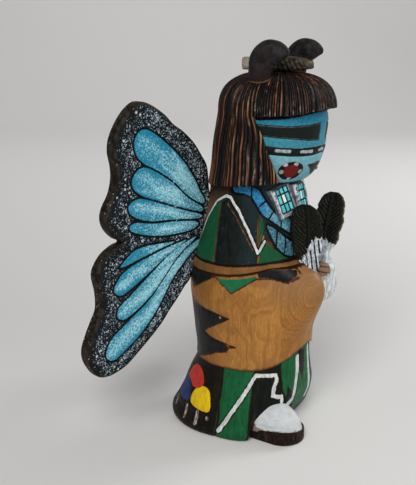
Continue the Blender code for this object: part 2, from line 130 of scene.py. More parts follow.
# Reads a station table at a height along cubic curves whose slopes are the table's own gradients.
def smoothRead(stations, height):
    known = stations[:, 0]
    slopes = np.gradient(stations[:, 1:], known, axis=0)
    place = np.clip(np.searchsorted(known, height) - 1, 0, len(known) - 2)
    span = known[place + 1] - known[place]
    t = np.clip((height - known[place]) / span, 0, 1)[..., None]
    low, high = stations[place, 1:], stations[place + 1, 1:]
    pullLow, pullHigh = slopes[place] * span[..., None], slopes[place + 1] * span[..., None]
    return ((1 + 2 * t) * (1 - t) ** 2 * low + t * (1 - t) ** 2 * pullLow
            + t * t * (3 - 2 * t) * high + t * t * (t - 1) * pullHigh)


# Distance to the nearest straight piece of a chain of points.
def strokeDistance(u, v, points):
    points = np.asarray(points, float)
    nearest = np.full(np.shape(u), 1e9)
    for (x0, y0), (x1, y1) in zip(points[:-1], points[1:]):
        dx, dy = x1 - x0, y1 - y0
        t = np.clip(((u - x0) * dx + (v - y0) * dy) / max(dx * dx + dy * dy, 1e-9), 0, 1)
        nearest = np.minimum(nearest, np.hypot(u - x0 - t * dx, v - y0 - t * dy))
    return nearest


# Signed distance to a closed outline: positive inside, counted by the sides that a level ray crosses.
def insideBy(u, v, outline):
    outline = np.asarray(outline, float)
    closed = np.concatenate([outline, outline[:1]])
    inside = np.zeros(np.shape(u), bool)
    for (x0, y0), (x1, y1) in zip(closed[:-1], closed[1:]):
        if y0 != y1:
            inside ^= ((v < y0) != (v < y1)) & (u < x0 + (x1 - x0) * (v - y0) / (y1 - y0))
    distance = strokeDistance(u, v, closed)
    return np.where(inside, distance, -distance)


# The largest of the signed distances to several outlines, with their first numbers stretched to millimetres.
def union(u, v, outlines, stretch=1.0):
    return np.max([insideBy(u, v, np.asarray(o, float) * (stretch, 1.0)) for o in outlines], axis=0)


# Signed distance to the band of a given half width along several strokes.
def strokes(u, v, lines, half, stretch=1.0):
    return half - np.min([strokeDistance(u, v, np.asarray(o, float) * (stretch, 1.0)) for o in lines], axis=0)


# Rounds a closed outline: each corner is cut a quarter of the way along both of its sides, time after time.
def rounded(outline, times=2):
    points = np.asarray(outline, float)
    for _ in range(times):
        after = np.roll(points, -1, axis=0)
        points = np.stack([0.75 * points + 0.25 * after, 0.25 * points + 0.75 * after], 1).reshape(-1, 2)
    return points


def smoothStep(value, low, high):
    t = np.clip((value - low) / (high - low), 0, 1)
    return t * t * (3 - 2 * t)


def addNode(tree, kind, inputs=None, **settings):
    made = tree.nodes.new("ShaderNode" + kind)
    for key, value in settings.items():
        setattr(made, key, value)
    for key, value in (inputs or {}).items():
        if isinstance(value, bpy.types.NodeSocket):
            tree.links.new(value, made.inputs[key])
        else:
            made.inputs[key].default_value = value
    return made


def arith(tree, operation, a, b=0.0, c=0.0):
    return addNode(tree, "Math", {0: a, 1: b, 2: c}, operation=operation).outputs[0]


# Reads a value between two limits as a share from 0 to 1, with soft ends.
def share(tree, value, low, high, first=0.0, last=1.0):
    made = addNode(tree, "MapRange", {"Value": value, "From Min": low, "From Max": high, "To Min": first, "To Max": last},
                   interpolation_type="SMOOTHSTEP")
    return made.outputs[0]


def mixColour(tree, factor, a, b, blend="MIX"):
    a = a if isinstance(a, bpy.types.NodeSocket) else (*a, 1.0)
    b = b if isinstance(b, bpy.types.NodeSocket) else (*b, 1.0)
    return addNode(tree, "Mix", {0: factor, 6: a, 7: b}, data_type="RGBA", blend_type=blend).outputs[2]


# Object coordinates in millimetres, each axis stretched by its own amount.
def place(tree, stretch=(1.0, 1.0, 1.0)):
    where = addNode(tree, "TexCoord").outputs["Object"]
    return addNode(tree, "VectorMath", {0: where, 1: tuple(1000.0 * s for s in stretch)}, operation="MULTIPLY").outputs[0]


# Noise with features of about the given size in millimetres, each axis stretched by its own amount.
def noise(tree, size, stretch=(1.0, 1.0, 1.0), detail=3.0, rough=0.55, distort=0.0):
    made = addNode(tree, "TexNoise", {"Vector": place(tree, stretch), "Scale": 1.0 / size, "Detail": detail,
                                      "Roughness": rough, "Distortion": distort})
    return made.outputs["Fac"]


def layer(tree, name):
    return addNode(tree, "Attribute", attribute_name=name).outputs["Fac"]


def newMaterial(name):
    material = bpy.data.materials.new(name)
    material.use_nodes = True
    material.node_tree.nodes.clear()
    return material, material.node_tree


# Ends a material: colour, roughness and bump heights (each with its depth in millimetres) go into the surface.
def finishMaterial(tree, colour, roughness, bumps=(), coat=0.0, specular=0.1):
    normal = None
    for height, depth in bumps:
        inputs = {"Height": height, "Distance": depth * 0.001, "Strength": 1.0}
        if normal:
            inputs["Normal"] = normal
        normal = addNode(tree, "Bump", inputs).outputs[0]
    inputs = {"Base Color": colour if isinstance(colour, bpy.types.NodeSocket) else (*colour, 1.0),
              "Roughness": roughness, "Coat Weight": coat, "Coat Roughness": 0.3, "Specular IOR Level": specular}
    if normal:
        inputs["Normal"] = normal
    shader = addNode(tree, "BsdfPrincipled", inputs)
    output = addNode(tree, "OutputMaterial", {"Surface": shader.outputs[0]})
    return output


# Bare oiled wood with an upright grain: pale body, brown pores and a slow drift from piece to piece.
def woodColour(tree, pale, brown, grain=1.0):
    drift = noise(tree, 16.0, (1.0, 1.0, 0.35), 2.0)
    line = noise(tree, 1.1 * grain, (1.0, 1.0, 0.06), 4.0, 0.65, 0.3)
    pore = noise(tree, 0.35, (1.0, 1.0, 0.09), 2.0, 0.6)
    body = mixColour(tree, share(tree, drift, 0.3, 0.7), brown, pale)
    body = mixColour(tree, share(tree, line, 0.5, 0.72, 0.0, 0.55), body, brown)
    return mixColour(tree, share(tree, pore, 0.58, 0.75, 0.0, 0.45), body, tuple(0.55 * c for c in brown))


# Lays brushed paint over what is below: the named layer's distance, roughened, is the paint's edge.
def paintOver(tree, below, name, dark, light, edge=0.12, wobble=0.5, wear=0.15, brush=(1.0, 1.0, 0.25)):
    rough = arith(tree, "SUBTRACT", noise(tree, 1.6, detail=3.0), 0.5)
    reach = arith(tree, "MULTIPLY_ADD", rough, wobble * 2.0, layer(tree, name))
    cover = share(tree, reach, -edge, edge)
    worn = share(tree, noise(tree, 0.8, (1.0, 1.0, 0.5), 4.0, 0.7), 0.62, 0.74, 1.0, 1.0 - wear)
    stroke = noise(tree, 1.4, brush, 4.0, 0.65)
    tone = mixColour(tree, share(tree, stroke, 0.32, 0.68), dark, light)
    return mixColour(tree, arith(tree, "MULTIPLY", cover, worn), below, tone)


bodyTable = {
    # height, half width, reach to the front, reach to the back, widest line, squareness
    "stations": np.array([
        (0.0, 30.6, 23.7, 29.8, 0.0, 4.0), (1.4, 31.5, 25.2, 30.6, -0.2, 4.0), (8.0, 30.6, 29.2, 27.8, -1.5, 3.6),
        (15.5, 29.8, 31.4, 24.0, -3.0, 3.2), (22.5, 27.8, 32.4, 21.7, -5.0, 2.7), (30.0, 26.3, 33.2, 18.6, -6.5, 2.3),
        (44.5, 26.7, 34.2, 19.1, -7.3, 2.1), (54.0, 27.2, 34.3, 20.2, -7.0, 2.05), (63.5, 26.8, 32.5, 21.3, -5.6, 2.0),
        (73.0, 25.6, 30.5, 20.9, -4.8, 2.0), (80.0, 24.2, 29.6, 18.4, -5.6, 2.0), (89.0, 22.8, 29.2, 15.5, -7.2, 2.0),
        (98.0, 21.8, 28.3, 13.6, -8.3, 2.0), (106.0, 20.6, 26.6, 11.5, -9.4, 2.0), (118.0, 17.0, 24.0, 8.0, -10.5, 2.0),
    ]),
    "swells": ((-13.0, 32.0, 13.0), (24.0, 35.0, 8.6)),
    "swellHeight": 67.5,
    "swellRise": 13.0,
    "swellFall": 25.0,
    "hollow": (-55.0, -24.0, 4.0, 16.0, 4.0, 31.0),
    "edge": (31.4, 7.6),
    "overhang": 0.9,
    # lower and upper line of the belt: height at the side, tilt and further climb towards the front
    "belt": ((73.1, 1.1, 3.9), (77.25, 0.4, 2.1)),
    "top": 117.0,
    # millimetres of girth that one degree stands for, where paint is laid out
    "girth": 0.5,
}


# A superellipse round the body's own axis at each height, pushed out by the folded forearms and in over the foot.
def bodyPoint(turn, height, grow=0.0):
    table = bodyTable
    angle = np.radians(turn)
    halfWidth, front, back, middle, square = np.moveaxis(smoothRead(table["stations"], height), -1, 0)
    facing = np.cos(angle) > 0
    depth = np.where(facing, front + middle, back - middle)
    square = np.where(facing, square, 2.0)
    reach = ((np.abs(np.sin(angle)) / halfWidth) ** square + (np.abs(np.cos(angle)) / depth) ** square) ** (-1 / square)
    above = np.clip((height - table["swellHeight"]) / table["swellRise"], 0, 1)
    below = np.clip((table["swellHeight"] - height) / table["swellFall"], 0, 1)
    upright = (1 - above ** 2.2) * (1 - below ** 1.6) ** 2
    wrapped = (turn + 180.0) % 360.0 - 180.0
    swell = 0.0
    for centre, spread, out in table["swells"]:
        away = np.clip(np.abs((turn - centre + 180.0) % 360.0 - 180.0) / spread, 0, 1)
        swell = np.maximum(swell, out * (1 - away ** 2) ** 2 * upright)
    low, high, crisp, soft, deep, tall = table["hollow"]
    hollow = np.minimum(np.clip((wrapped - low) / crisp, 0, 1), np.clip((high - wrapped) / soft, 0, 1))
    reach = reach + grow + swell - deep * hollow * np.clip(1 - height / tall, 0, 1) ** 0.7
    return np.stack([reach * np.sin(angle), middle - reach * np.cos(angle), height + 0.0 * angle], -1)


def blanketEdge(turn):
    low, rise = bodyTable["edge"]
    return low + rise * np.clip(np.cos(np.radians(turn)), 0, 1) ** 4.6


# Height of the belt's lower line (0) or upper line (1): it tilts down to the back and climbs towards the front.
def beltLine(turn, which):
    level, tilt, climb = bodyTable["belt"][which]
    front = np.cos(np.radians(turn))
    return level + tilt * front + climb * np.clip(front, 0, 1) ** 1.8


# Turns right round at a count of columns, set closer together where the body is widest.
def bodyTurns(count):
    angle = (np.arange(count) + 0.5) * 2 * math.pi / count - math.pi
    return np.degrees(angle - 0.25 * np.sin(angle))


skirtTable = {
    "columns": 420,
    "rows": 84,
    "green": [
        [(-91, 29.5), (-89, 24), (-84, 14), (-82.5, 6), (-82, -2), (-58, -2), (-56.6, 3.8), (-58.6, 14.9), (-59.8, 23.3),
         (-60.4, 31), (-61.4, 36), (-91, 36)],
        [(-34.5, 44), (-34.2, 31.3), (-30.9, 21.5), (-26.9, 18.2), (-17.2, 16.4), (-8.2, 8.5), (28.9, 5.9), (60, 2), (62, 44)],
    ],
    "black": [
        [(-54, 36), (-53.1, 33.1), (-35.6, 33.2), (-34.5, 29.2), (-31, 44), (-54, 44)],
        [(-25.5, 23.1), (-25.7, 18), (-17.2, 16.4), (-19, 20)],
        [(-14.4, 38.4), (1.4, 36.7), (2.2, 20.6), (-6.9, 27.3)],
    ],
    "red": [[(-135.8, 26.5), (-141, 24), (-142.3, 21.5), (-138, 20.0), (-131, 20.3), (-119.4, 18.2), (-109, 19.4),
             (-107.2, 21.5), (-111.5, 24.6), (-118.4, 26.9), (-127, 27.6)]],
    "blue": [[(-146, 19.9), (-152, 18.0), (-155.2, 14.2), (-152, 11.2), (-146.3, 10.2), (-128, 10.4), (-118, 11.6),
              (-116.2, 13.6), (-122.4, 17.9), (-130, 20.2), (-138, 20.6)]],
    "yellow": [[(-110.5, 20.3), (-114.4, 17.6), (-115.4, 13.6), (-112, 11.4), (-100.7, 10.4), (-91.5, 10.3), (-89.3, 12.4),
                (-92.4, 17.2), (-96.5, 19.9), (-103, 21.0)]],
    "bars": [[(-142.4, 9.0), (-138.6, 6.2)], [(-117.3, 9.8), (-114.9, 4.6)], [(-102.6, 9.8), (-100.9, 3.9)],
             [(-91.6, 8.0), (-91.2, 7.4)]],
    "white": [
        [(-78.9, 3.9), (-74.3, 9.2), (-67.1, 19.2), (-62.3, 25.3), (-58.4, 29.6), (-47.7, 29.2), (-38.7, 29), (-37.1, 26.5),
         (-39.0, 23.1), (-39.0, 19.8), (-34.4, 18.9), (-30.4, 18.9), (-29.3, 16.1)],
        [(-12.6, 34.5), (-11.1, 28), (-12.2, 20.8), (-14, 14.7), (-24.8, 13.2)],
        [(11.1, 36.1), (19.4, 22.3), (23.5, 13.3), (19.7, 9.9)],
    ],
    "burnt": [
        [(-92.9, 31.5), (-87.1, 21.3), (-82.2, 11.6), (-80.8, 4.7), (-81.2, 0.4)],
        [(-59.2, 27), (-58.6, 20.9), (-54.9, 10.2), (-53.6, 0)],
        [(-34.5, 31), (-31, 21.5), (-27, 18.2)],
    ],
}

blanketTable = {
    "columns": 420,
    "rows": 92,
    "black": [
        [(-150, 76), (-150, 71), (-129.7, 64.6), (-103.1, 71.1), (-98, 73), (-97, 76)],
        [(-55, 75.4), (-53.9, 73.2), (-44.2, 72.7), (-31.6, 71.7), (-24.4, 74.6), (-22.6, 76.6), (-34, 76.3), (-48, 75.9)],
        [(-138, 59.2), (-135.5, 57.9), (-115, 56.7), (-99.8, 56), (-86.0, 54.7), (-101.1, 50.7), (-117.8, 46), (-106.4, 44.4),
         (-92.7, 43.4), (-86.6, 41.9), (-89.1, 39.3), (-101.1, 37.9), (-112, 35.4), (-129.2, 32.2), (-131, 30), (-158, 30),
         (-150, 38), (-143, 47)],
        [(97, 76), (103.1, 71.1), (129.7, 64.6), (150, 71), (150, 76)],
    ],
    "green": [
        [(-97, 77), (-96.4, 72.2), (-80, 66.4), (-56.4, 72.8), (-54, 77)],
        [(54, 77), (56.4, 72.8), (80, 66.4), (96.4, 72.2), (97, 77)],
    ],
    "burnt": [
        [(-151, 71.4), (-129.7, 64.4), (-103, 70.9), (-97, 72.4), (-80, 66.2), (-56.0, 72.6), (-44.2, 72.5), (-31.6, 71.5),
         (-24, 74)],
        [(-138, 59.4), (-115, 56.9), (-99.8, 56.2), (-85.2, 54.8), (-101.1, 50.6), (-117.6, 46), (-106.4, 44.2), (-92.7, 43.2),
         (-79.7, 42.0), (-86.0, 41.6), (-89.1, 39.2), (-101.1, 37.8), (-112, 35.2), (-129.2, 32.2)],
        [(-56, 76.4), (-47, 76.8), (-34, 77.0), (-22, 77.2), (-21.5, 75)],
        [(24, 74), (56.0, 72.6), (80, 66.2), (97, 72.4), (103, 70.9), (129.7, 64.4), (151, 71.4)],
    ],
}

bodiceTable = {
    "columns": 400,
    "rows": 98,
    "green": [
        [(-182, 74), (-182, 100), (-150, 84), (-140, 92.4), (-120.6, 103.4), (-111.5, 103.7), (-107.8, 89.6), (-102, 74)],
        [(-58.5, 99.5), (-54.6, 95.8), (-54.0, 92.3), (-57.2, 87.0), (-59.3, 88), (-60.4, 96.7)],
        [(-55.4, 84.9), (-49.8, 88.0), (-39.2, 84.7), (-20.5, 80.1), (-18, 77), (-56, 77), (-54.4, 81.3)],
    ],
    "black": [
        [(-111.5, 103.7), (-102.7, 105.6), (-86, 100.6), (-73, 93.6), (-57, 83.0), (-55.5, 77), (-102, 77), (-107.8, 89.6)],
        [(-106, 108.4), (-89.4, 110.5), (-60, 112), (0.5, 112), (0.5, 77), (-20, 77), (-20.5, 80.1), (-39.2, 84.7),
         (-52.1, 89.2), (-55.4, 85.8), (-57.1, 84.6), (-72.1, 95.2), (-84.8, 102.4), (-99.5, 107.6)],
    ],
    "white": [
        [(-150, 84), (-140, 92.4), (-120.6, 103.4), (-115.5, 104.6), (-106.6, 106.5), (-99.5, 106.2), (-84.8, 101.0),
         (-72.1, 93.8), (-56.9, 83.4), (-55.4, 84.5), (-51.6, 88.4)],
    ],
    "burnt": [
        [(-59.6, 101.0), (-60.6, 96.7), (-60.1, 93.2), (-59.3, 87.6)],
        [(-111.5, 103.5), (-107.8, 89.6), (-102, 78)],
        [(-51.2, 89.4), (-39.2, 85.6), (-18, 80.6)],
    ],
    "sienna": [
        [(-101, 103.4), (-87.0, 98.6), (-74.8, 91.8), (-62.4, 84.6)],
        [(-55.4, 91.8), (-56.4, 88.8), (-58.4, 85.4)],
        [(-61.2, 97.6), (-60.8, 92.6)],
    ],
    "tan": [[(-53.4, 91.4), (-52.2, 89.6), (-54.6, 88.2), (-55.0, 89.8)]],
}


# Skirt rows: flat underside, the outer side up to the blanket's edge, then a tuck under it.
def skirtGrid(table):
    turn = bodyTurns(table["columns"])
    edge = blanketEdge(turn)
    climb = np.linspace(0, 1, table["rows"])[:, None]
    height = climb * (edge + 1.0)
    near = np.clip((height - 18.0) / (edge - 18.0), 0, 1)
    grid = bodyPoint(np.broadcast_to(turn, height.shape), height, -bodyTable["overhang"] * near)
    return turn, height, grid


# Distances of the skirt's paint; the left half repeats the right one's clouds and panels.
def skirtPaint(table, turn, height):
    girth = bodyTable["girth"]
    folded = np.where(turn > 60, -turn, turn)
    u, v = folded * girth, height
    paint = {
        "green": union(u, v, table["green"], girth),
        "black": union(u, v, table["black"], girth),
        "red": union(u, v, [rounded(o) for o in table["red"]], girth),
        "blue": union(u, v, [rounded(o) for o in table["blue"]], girth),
        "yellow": union(u + 0.5, v, [rounded(o) for o in table["yellow"]], girth),
        "bars": strokes(u, v, table["bars"], 0.75, girth),
        "white": np.maximum(strokes(u, v, table["white"][:1], 0.85, girth), strokes(u, v, table["white"][1:], 1.4, girth)),
        "burnt": strokes(u, v, table["burnt"], 0.55, girth),
    }
    recess = insideBy(u, v, np.array([(-59.5, 27.5), (-42.3, 27.5), (-40.1, 22.3), (-40, 18), (-34, 17.5), (-30, 15), (-27, -3),
                                      (-54, -3), (-58.8, 20.9)]) * (girth, 1))
    paint["recess"] = recess
    paint["edge"] = blanketEdge(turn) - height
    return paint


# Makes the skirt, from the ground to a tuck under the blanket.
def makeSkirt():
    table = skirtTable
    turn, height, grid = skirtGrid(table)
    turn = np.broadcast_to(turn, height.shape)
    paint = skirtPaint(table, turn, height)
    groove = (0.35 * smoothStep(paint["burnt"], -0.5, 0.5) + 0.25 * smoothStep(0.3 - np.abs(paint["white"] - 0.0), -0.3, 0.3)
              + 0.3 * smoothStep(paint["recess"], -0.2, 0.8))
    clouds = np.max([paint[k] for k in ("red", "blue", "yellow")], axis=0)
    groove = groove + 0.25 * smoothStep(0.35 - np.abs(clouds), -0.35, 0.35)
    near = np.clip((height - 18.0) / (blanketEdge(turn) - 18.0), 0, 1)
    rounding = 0.5 * np.clip(1 - height / 0.7, 0, 1) ** 2
    grid = bodyPoint(turn, height, -bodyTable["overhang"] * near - groove - rounding)
    return ringSkin("skirt", grid, paint, skirtMaterial(), sharp=50)


def skirtMaterial():
    material, tree = newMaterial("skirtPaint")
    bare = woodColour(tree, (0.36, 0.17, 0.05), (0.13, 0.055, 0.018))
    darkening = noise(tree, 3.0, (1.0, 1.0, 0.3), 5.0, 0.7)
    below = mixColour(tree, share(tree, darkening, 0.25, 0.62, 0.93, 1.0), bare, (0.006, 0.006, 0.004))
    below = paintOver(tree, below, "green", (0.007, 0.08, 0.028), (0.012, 0.13, 0.043), wobble=0.25, wear=0.25)
    below = paintOver(tree, below, "black", (0.003, 0.004, 0.0035), (0.01, 0.012, 0.01), wobble=0.2)
    below = paintOver(tree, below, "recess", (0.0025, 0.004, 0.003), (0.008, 0.011, 0.008), wobble=0.2)
    below = paintOver(tree, below, "blue", (0.012, 0.026, 0.12), (0.026, 0.045, 0.17), wobble=0.25, wear=0.05)
    below = paintOver(tree, below, "yellow", (0.74, 0.45, 0.008), (0.9, 0.64, 0.014), wobble=0.25, wear=0.05)
    below = paintOver(tree, below, "red", (0.46, 0.03, 0.02), (0.6, 0.05, 0.035), wobble=0.25, wear=0.05)
    below = paintOver(tree, below, "burnt", (0.004, 0.003, 0.002), (0.02, 0.009, 0.004), wobble=0.2, edge=0.25)
    halo = arith(tree, "ADD", layer(tree, "white"), 0.55)
    dark = share(tree, arith(tree, "MULTIPLY_ADD", arith(tree, "SUBTRACT", noise(tree, 1.2), 0.5), 0.8, halo), -0.1, 0.15)
    below = mixColour(tree, dark, below, (0.006, 0.005, 0.003))
    below = paintOver(tree, below, "white", (0.5, 0.52, 0.5), (0.8, 0.82, 0.81), wobble=0.5, wear=0.5)
    fade = noise(tree, 1.3, (1.0, 1.0, 0.6), 4.0, 0.7)
    worn = mixColour(tree, share(tree, fade, 0.42, 0.6), (0.14, 0.075, 0.04), (0.55, 0.55, 0.53))
    reach = arith(tree, "MULTIPLY_ADD", arith(tree, "SUBTRACT", noise(tree, 1.4), 0.5), 1.2, layer(tree, "bars"))
    below = mixColour(tree, share(tree, reach, -0.15, 0.2), below, worn)
    rim = share(tree, arith(tree, "MULTIPLY_ADD", noise(tree, 2.5), -0.5, arith(tree, "MULTIPLY", heightOf(tree), 1.0)),
                0.0, 0.25, 1.0, 0.0)
    below = mixColour(tree, rim, below, bare)
    finishMaterial(tree, below, share(tree, noise(tree, 2.0), 0.3, 0.7, 0.42, 0.58),
                   [(noise(tree, 0.7, (1.0, 1.0, 0.35), 4.0, 0.7), 0.10)])
    return material


# The height above the ground in millimetres, as a shader value.
def heightOf(tree):
    return addNode(tree, "SeparateXYZ", {0: place(tree)}).outputs["Z"]


# Makes the blanket: a rolled lower edge, the swell of the folded arms, and the shallow burnt outlines.
def makeBlanket():
    table = blanketTable
    girth = bodyTable["girth"]
    around = bodyTurns(table["columns"])
    edge, top = blanketEdge(around), beltLine(around, 0)
    outer = edge + (top - edge) * np.linspace(0, 1, table["rows"])[:, None]
    turn = np.broadcast_to(around, outer.shape)
    u, v = turn * girth, outer
    paint = {
        "black": union(u, v, table["black"], girth),
        "green": np.minimum(union(u, v, table["green"], girth), top - outer - 1.4),
        "burnt": strokes(u, v, table["burnt"], 0.42, girth),
        "hang": top - outer,
        "dots": strokes(u, v, [[(-94.2, 54.9), (-93.6, 54.5)]], 0.35, girth),
        "edge": outer - edge,
    }
    groove = 0.3 * smoothStep(paint["burnt"], -0.45, 0.35) + 0.12 * smoothStep(paint["black"], -0.2, 0.5)
    roll = 0.35 * np.clip(1 - paint["edge"] / 0.8, 0, 1) ** 2
    grid = bodyPoint(turn, outer, -groove - roll)
    under = [bodyPoint(around, edge + rise, -sink) for rise, sink in ((2.0, 4.0), (0.1, 3.0), (-0.02, 0.75))]
    over = [bodyPoint(around, top + rise, -sink) for rise, sink in ((0.3, 0.8), (1.0, 5.0))]
    grid = np.concatenate([np.stack(under), grid, np.stack(over)])
    paint = {key: np.concatenate([value[:1]] * 3 + [value] + [value[-1:]] * 2) for key, value in paint.items()}
    return ringSkin("blanket", grid, paint, blanketMaterial(), sharp=50)


def blanketMaterial():
    material, tree = newMaterial("blanketWood")
    below = woodColour(tree, (0.44, 0.195, 0.043), (0.34, 0.138, 0.028), 1.3)
    line = noise(tree, 0.6, (1.0, 1.0, 0.06), 3.0, 0.6)
    below = mixColour(tree, share(tree, line, 0.46, 0.66, 0.0, 0.28), below, (0.24, 0.098, 0.025))
    fibre = noise(tree, 0.45, (1.0, 1.0, 0.22), 2.0, 0.6)
    below = mixColour(tree, share(tree, fibre, 0.5, 0.68, 0.0, 0.5), below, (0.57, 0.31, 0.095))
    spots = noise(tree, 16.0, (1.0, 1.0, 0.8), 2.0, 0.6)
    patch = arith(tree, "MULTIPLY", share(tree, spots, 0.56, 0.68), share(tree, line, 0.42, 0.58))
    below = mixColour(tree, arith(tree, "MULTIPLY", patch, 0.42), below, (0.14, 0.055, 0.018))
    # growth rings round an upright heart: distance from it, bent a little by slow noise, read as uneven bands
    where = addNode(tree, "SeparateXYZ", {0: place(tree)})
    east, north = arith(tree, "ADD", where.outputs["X"], -3.0), arith(tree, "ADD", where.outputs["Y"], 4.0)
    apart = arith(tree, "SQRT", arith(tree, "ADD", arith(tree, "MULTIPLY", east, east), arith(tree, "MULTIPLY", north, north)))
    bent = arith(tree, "MULTIPLY_ADD", noise(tree, 14.0, (1.0, 1.0, 0.5), 2.0), 5.0, apart)
    reading = addNode(tree, "CombineXYZ", {0: bent, 1: 0.0, 2: arith(tree, "MULTIPLY", where.outputs["Z"], 0.01)})
    ring = addNode(tree, "TexNoise", {"Vector": reading.outputs[0], "Scale": 2.1, "Detail": 2.0, "Roughness": 0.6}).outputs["Fac"]
    below = mixColour(tree, share(tree, ring, 0.42, 0.6, 0.0, 0.45), below, (0.21, 0.082, 0.02))
    # painted shade: the wood darkens towards the back
    below = mixColour(tree, share(tree, where.outputs["Y"], -8.0, 8.0, 0.0, 0.3), below, (0.14, 0.05, 0.012))
    # painted sheen: the front of the arms' swell turns greyer, as light glancing off it
    bulgeSheen = arith(tree, "MULTIPLY", share(tree, heightOf(tree), 56.0, 70.0), share(tree, where.outputs["Y"], -14.0, -32.0, 0.0, 0.35))
    below = mixColour(tree, bulgeSheen, below, (0.27, 0.17, 0.11))
    scorch = arith(tree, "MULTIPLY_ADD", noise(tree, 2.2), 1.6, -0.3)
    near = share(tree, arith(tree, "SUBTRACT", layer(tree, "edge"), scorch), -0.5, 1.2, 0.9, 0.0)
    below = mixColour(tree, near, below, (0.05, 0.02, 0.008))
    below = paintOver(tree, below, "burnt", (0.008, 0.004, 0.002), (0.09, 0.022, 0.01), wobble=0.5, edge=0.25, wear=0.3)
    below = paintOver(tree, below, "green", (0.008, 0.12, 0.05), (0.014, 0.17, 0.07), wobble=0.25, wear=0.2)
    below = paintOver(tree, below, "black", (0.004, 0.005, 0.004), (0.013, 0.015, 0.014), wobble=0.3, wear=0.1)
    below = paintOver(tree, below, "dots", (0.42, 0.22, 0.08), (0.5, 0.26, 0.1), wobble=0.3)
    hang = arith(tree, "MULTIPLY_ADD", noise(tree, 1.6, detail=3.0), 0.9, layer(tree, "hang"))
    below = mixColour(tree, share(tree, hang, 0.75, 1.2, 0.95, 0.0), below, (0.018, 0.007, 0.003))
    finishMaterial(tree, below, share(tree, noise(tree, 2.5, (1.0, 1.0, 0.3)), 0.3, 0.7, 0.38, 0.52),
                   [(noise(tree, 0.4, (1.0, 1.0, 0.05), 3.0, 0.6), 0.05), (noise(tree, 4.0, (1.0, 1.0, 0.4), 3.0, 0.6), 0.25)],
                   coat=0.05)
    return material


# Shares of the necklace's two strands: how far along each a point lies, and how far inside the strand's edges.
def necklaceStrand(u, v, lower, upper, joints, gap):
    girth = bodyTable["girth"]
    outline = np.concatenate([lower, upper[::-1]]) * (girth, 1.0)
    inside = insideBy(u, v, outline)
    cuts = strokes(u, v, joints, gap, girth)
    return np.minimum(inside - 0.15, -cuts)


# Makes the bodice and the belt as one skin from the blanket's top to the neck.
def makeBodice():
    table = bodiceTable
    girth = bodyTable["girth"]
    around = bodyTurns(table["columns"])
    low, high = beltLine(around, 0), beltLine(around, 1)
    climb = np.linspace(0, 1, table["rows"])[:, None]
    height = low - 0.6 + (bodyTable["top"] - low + 0.6) * climb
    turn = np.broadcast_to(around, height.shape)
    folded = -np.abs(turn)
    u, v = folded * girth, height
    strands = [necklaceStrand(u, v, *(np.array(table[key]) if key != "joints" else table[key] for key in keys), 0.48)
               for keys in (("firstLow", "firstHigh"), ("secondLow", "secondHigh")) for keys in [keys + ("joints",)]]
    paint = {
        "green": union(u, v, table["green"], girth),
        "black": union(u, v, table["black"], girth),
        "white": strokes(u, v, table["white"], 0.62, girth),
        "burnt": strokes(u, v, table["burnt"], 0.5, girth),
        "tan": union(u, v, table["tan"], girth),
        "sienna": strokes(u, v, table["sienna"], 0.24, girth),
        "later": smoothStep(folded, -60.0, -46.0),
        "blue": strands[0],
        "steel": strands[1],
        "belt": np.minimum(height - low, high - height),
    }
    lines = smoothStep(0.55 - np.abs(height - low), -0.35, 0.4) + smoothStep(0.55 - np.abs(height - high), -0.35, 0.4)
    stones = np.maximum(paint["blue"], paint["steel"])
    groove = (0.6 * lines + 0.25 * smoothStep(paint["burnt"], -0.4, 0.4)
              + 0.28 * smoothStep(0.25 - np.abs(paint["white"] + 0.25), -0.3, 0.3)
              + 0.35 * smoothStep(0.45 - np.abs(stones + 0.2), -0.3, 0.3) - 0.12 * smoothStep(stones, -0.1, 0.5))
    grid = bodyPoint(turn, height, -groove - 0.1)
    grid = np.concatenate([bodyPoint(turn[:1], height[:1], -6.0), grid])
    paint = {key: np.concatenate([value[:1], value]) for key, value in paint.items()}
    return ringSkin("bodice", grid, paint, bodiceMaterial(), sharp=60)


